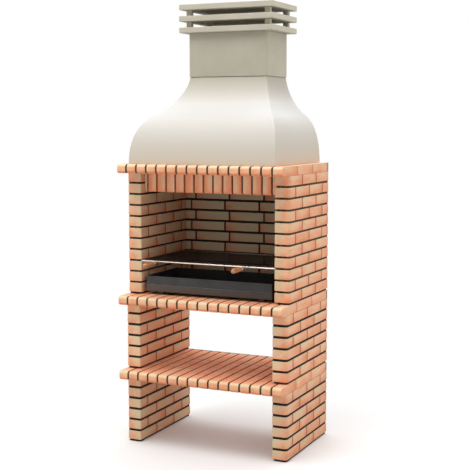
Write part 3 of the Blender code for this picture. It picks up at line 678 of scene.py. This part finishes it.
def add_loft(shape, rings, looped=False):
    """Join equal rings of points into a closed shell, and return its corners."""
    loops = [[shape.verts.new(point) for point in ring] for ring in rings]
    pairs = list(zip(loops, loops[1:]))
    if looped:
        pairs.append((loops[-1], loops[0]))
    else:
        shape.faces.new(loops[0])
        shape.faces.new(loops[-1])
    for near, far in pairs:
        for index in range(len(near)):
            following = (index + 1) % len(near)
            shape.faces.new((near[index], near[following], far[following], far[index]))
    return [corner for loop in loops for corner in loop]


def add_block(shape, low, high, radii, lie, edge, step=UNDIVIDED):
    """Block with softened edges; radii round the four corners of its outline."""
    a, b, along = lie
    edge = min(edge, min(abs(high[axis] - low[axis]) for axis in lie) * MOST_EDGE_SHARE)
    steps = corner_steps(radii)
    parts = sides_of(rounded((low[a], low[b]), (high[a], high[b]), radii, steps), step)
    rings = []
    for inset, level in soft_ends(low[along], high[along], edge):
        shrunk = [max(radius - inset, radius * LEAST_CORNER_SHARE) for radius in radii]
        outline = rounded((low[a] + inset, low[b] + inset), (high[a] - inset, high[b] - inset), shrunk, steps)
        rings.append([laid(first, second, level, lie) for first, second in split(outline, parts)])
    return add_loft(shape, rings)


def laid(first, second, along, lie):
    point = [0, 0, 0]
    for axis, value in zip(lie, (first, second, along)):
        point[axis] = value
    return point


def add_mortar(shape, low, high, radii=(TUCK,) * 4, lie=UPRIGHT):
    add_block(shape, low, high, radii, lie, TUCK, MORTAR_STEP)


def add_thin_joint(shape, cut, left, right, bottom, top):
    """The mortar that shows where two bricks meet end to end at a cut."""
    add_block(shape, (left + THIN_DEPTH, cut - THIN_JOINT, bottom + THIN_DEPTH),
              (right - THIN_DEPTH, cut + THIN_JOINT, top - THIN_DEPTH),
              (THIN_EDGE,) * 4, UPRIGHT, THIN_EDGE)


def roughen(shape, amount, grain):
    """Move each corner inwards by smooth noise, so that no face is machine flat."""
    bmesh.ops.recalc_face_normals(shape, faces=shape.faces)
    shape.normal_update()
    for corner in shape.verts:
        corner.co += corner.normal * (amount * (noise.noise(corner.co * grain) - 1) / 2)


def piece(name, shape, look, body="masonry", stands_for=()):
    bmesh.ops.recalc_face_normals(shape, faces=shape.faces)
    mesh = bpy.data.meshes.new(name)
    shape.to_mesh(mesh)
    shape.free()
    mesh.shade_smooth()
    mesh.set_sharp_from_angle(angle=SHARP_ANGLE)
    mesh.materials.append(LOOKS[look])
    made = bpy.data.objects.new(name, mesh)
    bpy.context.scene.collection.objects.link(made)
    shading = made.modifiers.new("even_shading", "WEIGHTED_NORMAL")
    shading.keep_sharp = True
    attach(made, body)
    if stands_for:
        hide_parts(*stands_for)
    return made


def second_look(made, look, chosen):
    """Give the faces that are chosen another look than the rest of the piece."""
    made.data.materials.append(LOOKS[look])
    for face in made.data.polygons:
        if chosen(face):
            face.material_index = 1


def nodes_named(start):
    return sorted(name for name in frame["nodes"] if name.startswith(start))


# Bricks

def layer(layers, name):
    return layers.get(name) or layers.new(name)


def add_brick(shape, low, high, radii, lie, length_axis, height_axis, redder=0, tone=0, darkened=None):
    """Add a brick, and note on its corners what its colours need.

    That is the corner's place, its share of the way out from the middle along the length, towards the
    redder side (+1 right, -1 left) and up, the brick's own tone, its seed, and how much it is painted
    darker: painted shade on the bricks inside the firebox, an even darkening on the lower piers. The last
    argument gives the axis and the end of the darkened side, -1 or +1, or 0 for both, and how dark it is.
    """
    vectors = shape.verts.layers.float_vector
    numbers = shape.verts.layers.float
    places = layer(vectors, "brick_place")
    shares = layer(vectors, "brick_shares")
    tones = layer(numbers, "brick_tone")
    seeds = layer(numbers, "brick_seed")
    darkenings = layer(numbers, "brick_soot")
    corners = add_block(shape, low, high, radii, lie, BRICK_EDGE, BRICK_STEP)
    order = (length_axis, 3 - length_axis - height_axis, height_axis)
    middle = (Vector(low) + Vector(high)) / 2
    seed = next(brick_numbers) * GOLDEN_SHARE % 1
    for corner in corners:
        own = corner.co - middle
        share = [2 * own[axis] / (high[axis] - low[axis]) for axis in range(3)]
        corner[places] = [own[axis] for axis in order]
        corner[shares] = (share[length_axis], redder * share[0], share[2])
        corner[tones] = tone + (seed - 0.5) * TONE_SPREAD
        corner[seeds] = seed
        if darkened and share[darkened[0]] * darkened[1] >= 0:
            corner[darkenings] = darkened[2]


def pitches_in(length):
    """How many courses or rows a length holds, with a joint between each two."""
    return round((length + MORTAR) / COURSE)


def runs_between(first, last, cuts, joint):
    """Where each brick of a row starts and ends, with a joint at each cut."""
    starts = [first] + [cut + joint / 2 for cut in cuts]
    ends = [cut - joint / 2 for cut in cuts] + [last]
    return zip(starts, ends)


def module_pieces(node, bricks, joints, mortar, look="mortar"):
    """A module's bricks, its thin joints if it has any, and its mortar, which is returned."""
    roughen(bricks, BRICK_WAVE, BRICK_GRAIN)
    roughen(mortar, MORTAR_WAVE, MORTAR_GRAIN)
    piece(node + ".bricks", bricks, "brick", stands_for=(node,))
    if joints is not None:
        piece(node + ".thin_joints", joints, "thin_joint")
    return piece(node + ".mortar", mortar, look)


def wall(node, shares, groove, tone, darkening=0):
    """A side module: bricks in courses, mortar between them and thin joints at their ends."""
    low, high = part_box(node)
    bricks, joints, mortar = (bmesh.new() for _ in range(3))
    insets = (MORTAR_RECESS, groove)
    radii = (CORNER_RADIUS, INNER_CORNER_RADIUS)
    outer_side = 1 if low.x > 0 else -1
    if outer_side > 0:
        insets = insets[::-1]
        radii = radii[::-1]
    core = [max(radius - MORTAR_RECESS, TUCK) for radius in radii]
    firebox = "firebox" in node
    slimmer = 0 if firebox else PIER_SLIMMER
    # A firebox wall's bricks are darkened on their inner side as painted shade; a pier's bricks are darkened
    # on all sides
    darkened = (0, -outer_side if firebox else 0, darkening)
    courses = pitches_in(high.z - low.z)
    for course in range(courses):
        base = low.z + course * COURSE
        bottom = base + slimmer
        top = base + BRICK - slimmer
        cuts = [low.y + share * (high.y - low.y) for share in shares[course % 2]]
        for start, end in runs_between(low.y, high.y, cuts, THIN_JOINT):
            front = radii if start == low.y else (BRICK_EDGE, BRICK_EDGE)
            add_brick(bricks, (low.x, start, bottom), (high.x, end, top),
                      (*front, BRICK_EDGE, BRICK_EDGE), UPRIGHT, 1, 2, outer_side, tone, darkened)
        for cut in cuts:
            add_thin_joint(joints, cut, low.x, high.x, bottom, top)
        if course < courses - 1:
            bed_bottom = base + BRICK - TUCK
            bed_top = base + COURSE + TUCK
            add_mortar(mortar, (low.x + insets[0], low.y + MORTAR_RECESS, bed_bottom),
                       (high.x - insets[1], high.y - MORTAR_RECESS, bed_top), (*core, TUCK, TUCK))
            if firebox:
                fill_groove(mortar, low, high, bed_bottom, bed_top)
    # A pier's joints take the near-black mortar; in a firebox wall only the mortar faces inside the firebox
    # take it, as painted shade
    made = module_pieces(node, bricks, joints, mortar, "mortar" if firebox else "dark_mortar")
    if firebox:
        second_look(made, "dark_mortar", lambda face: face.normal.x * outer_side < 0)


def fill_groove(shape, low, high, bottom, top):
    """Mortar that ends a firebox wall's groove where the back wall starts."""
    back_wall_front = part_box("firebox_back_wall")[0].y
    sides = (high.x - GROOVE_FILL_REACH, high.x - GROOVE_FILL)
    if low.x > 0:
        sides = (low.x + GROOVE_FILL, low.x + GROOVE_FILL_REACH)
    add_mortar(shape, (sides[0], back_wall_front, bottom), (sides[1], high.y - MORTAR_RECESS, top))


def mortar_bed(node):
    """A trowelled bed, squeezed a little into the brick above and the slab below."""
    low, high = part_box(node)
    shape = bmesh.new()
    radius = CORNER_RADIUS - MORTAR_RECESS if "back" not in node else TUCK
    near = low.copy()
    far = high.copy()
    if "firebox" in node and "back" not in node:
        fill_groove(shape, low, high, low.z, high.z)
        if low.x > 0:
            near.x += GROOVE
        else:
            far.x -= GROOVE
    add_mortar(shape, near, far, (radius, radius, TUCK, TUCK))
    roughen(shape, MORTAR_WAVE, MORTAR_GRAIN)
    # Beds other than the middle tier's take the near-black mortar: painted shade inside the firebox and a
    # painted contact shadow under the lower piers
    look = "mortar" if "middle" in node else "dark_mortar"
    piece(node + ".trowelled", shape, look, stands_for=(node,))


def back_wall(node):
    """Courses of bricks that run across, and one rough block of mortar inside them."""
    low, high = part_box(node)
    bricks = bmesh.new()
    mortar = bmesh.new()
    for course in range(pitches_in(high.z - low.z)):
        base = low.z + course * COURSE
        shift = (course % 2) * BACK_SHIFT
        cuts = [(joint - (BACK_JOINTS - 1) / 2) * BACK_PITCH - shift for joint in range(BACK_JOINTS)]
        for start, end in runs_between(low.x, high.x, cuts, MORTAR):
            # The back wall's bricks are darkened on their front faces, inside the firebox, as painted shade
            add_brick(bricks, (start, low.y, base + BACK_SLIMMER), (end, high.y, base + BRICK - BACK_SLIMMER),
                      (BRICK_EDGE,) * 4, UPRIGHT, 0, 2, -1, BACK_WALL_TONE, (1, -1, BACK_PAINTED_SHADE))
    inset = Vector((GROOVE_FILL, BACK_RECESS, BRICK_EDGE))
    near = low + inset
    far = high - inset
    outline = rounded(near.xy, far.xy, (TUCK,) * 4)
    outline = split(outline, sides_of(outline, MORTAR_STEP))
    levels = ceil((far.z - near.z) / MORTAR_STEP)
    add_loft(mortar, [[(x, y, near.z + (far.z - near.z) * level / levels) for x, y in outline]
                      for level in range(levels + 1)])
    made = module_pieces(node, bricks, None, mortar)
    # The mortar's faces inside the firebox take the near-black mortar as painted shade
    second_look(made, "dark_mortar", lambda face: face.normal.y < 0)


# Slabs

def open_runs(low, high, hole, left, right):
    """The stretches from front to back that a row has, and its sides, beside a hole."""
    if hole is None or right <= hole[0][0] or left >= hole[1][0]:
        return [(low.y, high.y, left, right)]
    runs = [(low.y, hole[0][1], left, right), (hole[1][1], high.y, left, right)]
    if left < hole[0][0]:
        runs.append((hole[0][1], hole[1][1], left, hole[0][0]))
    if right > hole[1][0]:
        runs.append((hole[0][1], hole[1][1], hole[1][0], right))
    return runs


def slab(node, hole=None):
    """Rows of bricks from front to back, with mortar between the rows and behind them."""
    low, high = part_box(node)
    bricks, joints, mortar = (bmesh.new() for _ in range(3))
    rows = pitches_in(high.x - low.x)
    cuts = [low.y + share * (high.y - low.y) for share in SLAB_SHARES]
    brick_back = high.y - SLAB_BACK_STRIP
    for row in range(rows):
        left = low.x + row * COURSE
        tone = SLAB_END_TONE if row in (0, rows - 1) else SLAB_TONE
        for front, back, side_low, side_high in open_runs(low, high, hole, left, left + BRICK):
            back = min(back, brick_back)
            inner = [cut for cut in cuts if front + BRICK < cut < back - BRICK]
            for start, end in runs_between(front, back, inner, SLAB_THIN_JOINT):
                nose = SLAB_NOSE if start == low.y else BRICK_EDGE
                add_brick(bricks, (side_low, start, low.z), (side_high, end, high.z),
                          (nose, BRICK_EDGE, BRICK_EDGE, nose), ACROSS, 1, 2, 0, tone)
            for cut in inner:
                add_thin_joint(joints, cut, side_low, side_high, low.z, high.z)
        if row < rows - 1:
            for front, back, side_low, side_high in open_runs(low, high, hole, left + BRICK, left + COURSE):
                nose = SLAB_NOSE - SLAB_RECESS if front == low.y else TUCK
                end = high.y - STRIP_RECESS if back == high.y else back
                start = front + SLAB_RECESS if front == low.y else front
                add_mortar(mortar, (side_low - TUCK, start, low.z + SLAB_RECESS),
                           (side_high + TUCK, end, high.z - SLAB_TOP_RECESS),
                           (nose, TUCK, TUCK, nose), ACROSS)
    add_mortar(mortar, (low.x + STRIP_RECESS, brick_back + STRIP_GAP, low.z + STRIP_RECESS),
               (high.x - STRIP_RECESS, high.y - STRIP_BACK_RECESS, high.z - STRIP_RECESS))
    module_pieces(node, bricks, joints, mortar)


# Lintel

def lintel():
    """Upright bricks, and a beam behind them that reaches forwards between each two."""
    nodes = nodes_named("lintel_brick")
    for node in nodes:
        low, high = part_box(node)
        low.x += LINTEL_SLIMMER
        high.x -= LINTEL_SLIMMER
        shape = bmesh.new()
        outer_side = 1 if low.x + high.x > 0 else -1
        add_brick(shape, low, high, (LINTEL_NOSE, BRICK_EDGE, BRICK_EDGE, BRICK_EDGE), ACROSS, 2, 0,
                  outer_side, LINTEL_TONE)
        roughen(shape, BRICK_WAVE, BRICK_GRAIN)
        piece(node + ".fired", shape, "brick", stands_for=(node,))
    low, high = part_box("lintel_beam")
    beam_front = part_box(nodes[0])[1].y
    shape = bmesh.new()
    add_mortar(shape, (low.x, beam_front, low.z), high)
    for before, after in zip(nodes, nodes[1:]):
        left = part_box(before)[1].x
        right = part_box(after)[0].x
        add_mortar(shape, (left - LINTEL_SLIMMER - TUCK, low.y + LINTEL_RECESS, low.z + TUCK),
                   (right + LINTEL_SLIMMER + TUCK, beam_front + TUCK, high.z))
    roughen(shape, MORTAR_WAVE, MORTAR_GRAIN)
    piece("lintel_beam.cast", shape, "mortar", stands_for=("lintel_beam",))


# Hood

def bezier(points, steps):
    """Points along a cubic curve, without its first one."""
    found = []
    for step in range(1, steps + 1):
        share = step / steps
        rest = 1 - share
        weights = (rest ** 3, 3 * rest ** 2 * share, 3 * rest * share ** 2, share ** 3)
        found.append(tuple(sum(w * p[i] for w, p in zip(weights, points)) for i in (0, 1)))
    return found


def hood():
    """The ogee hood, hollow, floated by hand so that its faces wave slightly."""
    low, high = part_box("hood")
    neck_low, neck_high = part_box("chimney_block")
    neck_low += Vector((NECK_INSET, NECK_INSET, 0))
    neck_high -= Vector((NECK_INSET, NECK_INSET, 0))
    parts = sides_of(rounded(low.xy, high.xy, (HOOD_EDGE,) * 4), HOOD_FACE_STEP)
    tall = high.z - low.z

    def plan(share, inset, level):
        inwards = Vector((inset, inset))
        near = low.xy.lerp(neck_low.xy, share) + inwards
        far = high.xy.lerp(neck_high.xy, share) - inwards
        return [(x, y, level) for x, y in split(rounded(near, far, (HOOD_EDGE,) * 4), parts)]

    curve = ([LOWER_CURVE_SHARES[0]] + bezier(LOWER_CURVE_SHARES, HOOD_STEPS)
             + bezier(UPPER_CURVE_SHARES, HOOD_STEPS))
    rings = [plan(share, 0, low.z + height * tall) for height, share in curve]
    rings.append(plan(1, HOOD_WALL, high.z))
    rings += [plan(share, HOOD_WALL, low.z + height * (tall - HOOD_THROAT))
              for height, share in reversed(curve)]
    shape = bmesh.new()
    add_loft(shape, rings, looped=True)
    roughen(shape, RENDER_WAVE, RENDER_GRAIN)
    piece("hood.rendered", shape, "render", stands_for=("hood",))


# Chimney and cap

def add_tube(shape, low, high, wall_thickness, rim):
    """Upright rectangular tube with rounded rims."""
    outer = []
    inner = []
    for inset, level in soft_ends(low.z, high.z, rim):
        outer.append(level_ring(low, high, inset, CHIMNEY_EDGE, level))
        inner.append(level_ring(low, high, wall_thickness - inset, CHIMNEY_INNER_EDGE, level))
    add_loft(shape, outer + inner[::-1], looped=True)


def casting(node, edge):
    low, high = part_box(node)
    shape = bmesh.new()
    add_block(shape, low, high, (STONE_EDGE,) * 4, UPRIGHT, edge)
    piece(node + ".cast", shape, "cast_stone", stands_for=(node,))


def chimney_and_cap():
    low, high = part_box("chimney_block")
    shape = bmesh.new()
    add_tube(shape, low, high, CHIMNEY_WALL, CHIMNEY_RIM)
    piece("chimney_block.cast", shape, "cast_stone", stands_for=("chimney_block",))
    bed_low, bed_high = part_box("flue_mortar_bed")
    shape = bmesh.new()
    add_tube(shape, bed_low, bed_high, CHIMNEY_WALL - (bed_low.x - low.x),
             (bed_high.z - bed_low.z) * BED_RIM_SHARE)
    piece("flue_mortar_bed.pointed", shape, "cast_stone", stands_for=("flue_mortar_bed",))
    for node in ("cap_lower_ring", "cap_middle_ring"):
        near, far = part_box(node)
        shape = bmesh.new()
        rings = [level_ring(near, far, inset, STONE_EDGE, level)
                 for inset, level in soft_ends(near.z, far.z, STONE_EDGE)]
        rings += [level_ring(low, high, CHIMNEY_WALL, STONE_EDGE, level) for level in (far.z, near.z)]
        add_loft(shape, rings, looped=True)
        piece(node + ".cast", shape, "cast_stone", stands_for=(node,))
    casting("cap_lid", STONE_EDGE)
    for node in nodes_named("cap_post"):
        casting(node, POST_EDGE)


# Ember tray

def ember_tray():
    """Folded sheet: drawn in below the crease, with a hem rolled round its top edge."""
    low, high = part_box("ember_tray")
    crease = low.z + TRAY_CREASE
    below_hem = high.z - TRAY_HEM * 2
    profile = [(TRAY_TAPER + TRAY_FOLD, low.z), (TRAY_TAPER, low.z + SHEET / 2),
               (TRAY_TAPER - SHEET / 3, low.z + TRAY_FOLD), (SHEET / 3, crease - SHEET),
               (0, crease - SHEET / 3), (TRAY_STEP / 4, crease), (TRAY_STEP, crease + SHEET / 4),
               (TRAY_STEP, below_hem), (0, high.z - TRAY_HEM),
               (SHEET / 4, high.z - SHEET / 4), (SHEET / 2, high.z),
               (SHEET, high.z - SHEET / 3), (SHEET + TRAY_STEP, below_hem),
               (SHEET + TRAY_STEP, crease), (SHEET * 2, crease - SHEET),
               (TRAY_TAPER + SHEET, low.z + TRAY_FOLD + SHEET),
               (TRAY_TAPER + TRAY_FOLD + SHEET, low.z + SHEET)]
    shape = bmesh.new()
    add_loft(shape, [level_ring(low, high, inset, TRAY_FOLD, level) for inset, level in profile])
    tray = piece("ember_tray.folded", shape, "black_steel", "ember_tray", stands_for=("ember_tray",))
    middle = (low + high) / 2

    def inside(face):
        inward = (middle - face.center).xy.dot(face.normal.xy) > 0
        is_floor = face.normal.z > 0 and face.center.z < crease
        return inward and face.center.z < high.z - TRAY_HEM or is_floor

    # The tray's inside faces take near-black steel as painted shade under the grill
    second_look(tray, "sooted_steel", inside)
    for node in ("tray_foot_left", "tray_foot_right"):
        foot_low, foot_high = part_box(node)
        shape = bmesh.new()
        add_block(shape, foot_low, foot_high, (SHEET,) * 4, UPRIGHT, SHEET / 2)
        piece(node + ".folded", shape, "black_steel", "ember_tray", stands_for=(node,))


# Grill and handles

def tube_rings(path, radius, sides, closed=False):
    """Rings round a path that lies level, mitred where it bends."""
    places = [Vector(point) for point in path]
    angles = [2 * pi * side / sides for side in range(sides)]
    last = len(places) - 1
    rings = []
    for index, here in enumerate(places):
        before = places[index - 1] if closed or index > 0 else None
        after = places[(index + 1) % len(places)] if closed or index < last else None
        into = (here - before).normalized() if before is not None else (after - here).normalized()
        out = (after - here).normalized() if after is not None else into
        along = (into + out).normalized()
        across = along.cross(Vector((0, 0, 1))) / along.dot(into)
        rings.append([here + across * (radius * cos(angle)) + Vector((0, 0, radius * sin(angle)))
                      for angle in angles])
    return rings


def add_weld(shape, place):
    """A weld bead, drawn out along the rod."""
    made = bmesh.ops.create_uvsphere(shape, u_segments=WELD_SIDES, v_segments=WELD_RINGS, radius=WELD_RADIUS)
    for corner in made["verts"]:
        corner.co.x *= WELD_STRETCH
        corner.co += Vector(place)


def grill():
    """The frame rod, thin wires from front to back in its upper half, and cross rods under them."""
    low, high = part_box("grill")
    radius = (high.z - low.z) / 2
    level = (high.z + low.z) / 2
    shape = bmesh.new()
    outline = level_ring(low, high, radius, GRILL_CORNER, level)
    add_loft(shape, tube_rings(outline, radius, ROD_SIDES, closed=True), looped=True)
    piece("grill.frame_rod", shape, "bright_steel", "grill", stands_for=("grill",))
    near = low + Vector((radius, radius, 0))
    far = high - Vector((radius, radius, 0))
    wires = bmesh.new()
    wire_level = level + radius - WIRE_RADIUS
    cross_level = wire_level - WIRE_RADIUS - CROSS_RADIUS
    for index in range(GRILL_WIRES):
        x = near.x + (index + 1) * (far.x - near.x) / (GRILL_WIRES + 1)
        run = ((x, near.y, wire_level), (x, far.y, wire_level))
        add_loft(wires, tube_rings(run, WIRE_RADIUS, WIRE_SIDES))
    for index in range(CROSS_RODS):
        y = near.y + (index + 1) * (far.y - near.y) / (CROSS_RODS + 1)
        run = ((near.x, y, cross_level), (far.x, y, cross_level))
        add_loft(wires, tube_rings(run, CROSS_RADIUS, ROD_SIDES))
    # The wires take dark steel as painted shade under the hood
    piece("grill.wires", wires, "smoked_wire", "grill")
    for side in ("left", "right"):
        handle(side, low.y, level)


def handle(side, rod_front, level):
    """Turned grip, its collar, and the hairpin wire that is welded to the front rod."""
    low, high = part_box("handle_grip_" + side)
    x = (low.x + high.x) / 2
    end = high.y
    length = high.y - low.y
    radius = (high.x - low.x) / 2
    profile = [(end - length / 2, GRIP_BORE), (end, GRIP_BORE)]
    profile += [(end - along * length, across * radius) for along, across in GRIP_PROFILE_SHARES]
    shape = bmesh.new()
    add_loft(shape, turned(profile, x, level))
    piece(f"handle_grip_{side}.turned", shape, "wood", "grill", stands_for=(f"handle_grip_{side}",))

    low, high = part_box("handle_ferrule_" + side)
    outer = (high.x - low.x) / 2
    inner = outer - FERRULE_WALL
    bead = (high.y - low.y) * FERRULE_BEAD_SHARE
    groove = outer - bead / 2
    profile = [(high.y, inner), (high.y, groove), (high.y - bead / 2, outer), (high.y - bead, outer),
               (high.y - bead * BEAD_SLOPE_SHARE, groove), (low.y + bead * BEAD_SLOPE_SHARE, groove),
               (low.y + bead, outer), (low.y + bead / 2, outer), (low.y, groove), (low.y, inner)]
    shape = bmesh.new()
    add_loft(shape, turned(profile, x, level), looped=True)
    piece(f"handle_ferrule_{side}.pressed", shape, "bright_steel", "grill",
          stands_for=(f"handle_ferrule_{side}",))

    reach = rod_front - end
    bends = [reach * (1 - share) for share in HAIRPIN_BEND_SHARES]
    half = [(HAIRPIN_SPREAD, reach), (HAIRPIN_SPREAD, bends[0]),
            (HAIRPIN_HALF_GAP, bends[1]), (HAIRPIN_HALF_GAP, radius - length / 2)]
    path = half + [(-across, ahead) for across, ahead in reversed(half)]
    shape = bmesh.new()
    places = [(x + across, end + ahead, level) for across, ahead in path]
    add_loft(shape, tube_rings(places, HAIRPIN_RADIUS, ROD_SIDES))
    for way in (-1, 1):
        add_weld(shape, (x + way * HAIRPIN_SPREAD, rod_front, level))
    piece(f"handle_wire_{side}.bent", shape, "bright_steel", "grill", stands_for=(f"handle_wire_{side}",))


def turned(profile, x, level):
    """Rings round a line from front to back, one for each place along it and radius."""
    angles = [2 * pi * side / TURNED_SIDES for side in range(TURNED_SIDES)]
    return [[(x + radius * cos(angle), y, level + radius * sin(angle)) for angle in angles]
            for y, radius in profile]


# Floor, lights and camera

def white_to_camera(look, plain, white):
    """White to the camera, in gloss and through glass; plain to every other ray."""
    rays = add_node(look, "ShaderNodeLightPath", {}).outputs
    seen = maths(look, "MAXIMUM", rays["Is Camera Ray"], rays["Is Glossy Ray"])
    seen = maths(look, "MAXIMUM", seen, rays["Is Transmission Ray"])
    return add_node(look, "ShaderNodeMixShader", {"Fac": seen, 1: plain, 2: white}).outputs[0]


def grey(level):
    return (level, level, level, 1)


def backdrop():
    """White to the camera; to the rest a soft studio dome, brighter overhead and low behind the object."""
    world = bpy.data.worlds.new("studio")
    world.use_nodes = True
    tree = world.node_tree
    direction = add_node(world, "ShaderNodeTexCoord", {}).outputs["Generated"]
    _, back, up = axes(world, direction)
    rise = maths(world, "MAXIMUM", up, 0)
    behind = maths(world, "POWER", maths(world, "MAXIMUM", back, 0), SKY_BEHIND_POWER)
    behind = maths(world, "MULTIPLY", behind, maths(world, "SUBTRACT", 1, rise))
    level = maths(world, "MULTIPLY_ADD", rise, SKY_RISE, SKY_LEVEL)
    level = maths(world, "MULTIPLY_ADD", behind, SKY_BEHIND, level)
    plain = tree.nodes["Background"]
    plain.inputs["Color"].default_value = grey(1)
    tree.links.new(level, plain.inputs["Strength"])
    white = add_node(world, "ShaderNodeBackground", {"Color": grey(1)})
    seen = white_to_camera(world, plain.outputs[0], white.outputs[0])
    tree.links.new(seen, tree.nodes["World Output"].inputs["Surface"])
    bpy.context.scene.world = world


def floor():
    """Pale floor that keeps the object's shadow and meets the white backdrop unseen."""
    shape = bmesh.new()
    bmesh.ops.create_grid(shape, x_segments=1, y_segments=1, size=FLOOR_SIZE / 2)
    mesh = bpy.data.meshes.new("floor")
    shape.to_mesh(mesh)
    shape.free()
    look = bpy.data.materials.new("floor")
    look.use_nodes = True
    tree = look.node_tree
    plain = tree.nodes["Principled BSDF"]
    plain.inputs["Base Color"].default_value = grey(FLOOR_GREY)
    plain.inputs["Roughness"].default_value = FLOOR_ROUGHNESS
    plain.inputs["Specular IOR Level"].default_value = 0
    pale = add_node(look, "ShaderNodeBsdfDiffuse", {"Color": grey(FLOOR_SEEN_GREY)})
    lift = add_node(look, "ShaderNodeEmission", {"Strength": FLOOR_LIFT})
    near = add_node(look, "ShaderNodeAddShader", {0: pale.outputs[0], 1: lift.outputs[0]})
    places = {0: object_place(look), 1: SHADOW_MIDDLE}
    away = add_node(look, "ShaderNodeVectorMath", places, operation="DISTANCE").outputs["Value"]
    span = {"Value": away, "From Min": SHADOW_REACH, "From Max": SHADOW_END}
    fade = add_node(look, "ShaderNodeMapRange", span, interpolation_type="SMOOTHSTEP").outputs[0]
    far = add_node(look, "ShaderNodeEmission", {})
    faded = add_node(look, "ShaderNodeMixShader", {"Fac": fade, 1: near.outputs[0], 2: far.outputs[0]})
    seen = white_to_camera(look, plain.outputs[0], faded.outputs[0])
    tree.links.new(seen, tree.nodes["Material Output"].inputs["Surface"])
    mesh.materials.append(look)
    made = bpy.data.objects.new("floor", mesh)
    bpy.context.scene.collection.objects.link(made)


def lamp(name, place, target, size, watts):
    data = bpy.data.lights.new(name, "AREA")
    data.size = size
    data.energy = watts
    made = bpy.data.objects.new(name, data)
    made.location = place
    made.rotation_euler = (Vector(target) - Vector(place)).to_track_quat("-Z", "Y").to_euler()
    bpy.context.scene.collection.objects.link(made)


def camera():
    data = bpy.data.cameras.new("camera")
    data.lens = LENS_MM
    data.sensor_width = SENSOR_MM
    made = bpy.data.objects.new("camera", data)
    made.location = CAMERA_PLACE
    made.rotation_euler = [radians(angle) for angle in CAMERA_TURN]
    bpy.context.scene.collection.objects.link(made)
    bpy.context.scene.camera = made


def build():
    for side in ("left", "right"):
        # Lower piers are darkened evenly; the firebox walls get painted shade on their inner side
        wall(f"lower_{side}_pier", PIER_SHARES, MORTAR_RECESS, LOWER_TONE, LOWER_DARKENING)
        wall(f"middle_{side}_pier", PIER_SHARES, MORTAR_RECESS, MIDDLE_TONE)
        wall(f"firebox_{side}_wall", FIREBOX_SHARES, GROOVE, MIDDLE_TONE, SIDE_PAINTED_SHADE)
    for node in sorted(name for name in frame["nodes"] if name.endswith("mortar_bed") and "flue" not in name):
        mortar_bed(node)
    back_wall("firebox_back_wall")
    holes = {hole["name"]: hole["box_m"] for hole in frame["record"]["physics"]["openings"]}
    slab("lower_shelf_slab")
    slab("hearth_slab")
    slab("top_slab", holes["smoke_opening"])
    lintel()
    hood()
    chimney_and_cap()
    ember_tray()
    grill()
    floor()
    backdrop()
    for name, settings in LAMPS.items():
        lamp(name, *settings)
    camera()


build()

scene = bpy.context.scene
scene.view_settings.view_transform = "Standard"
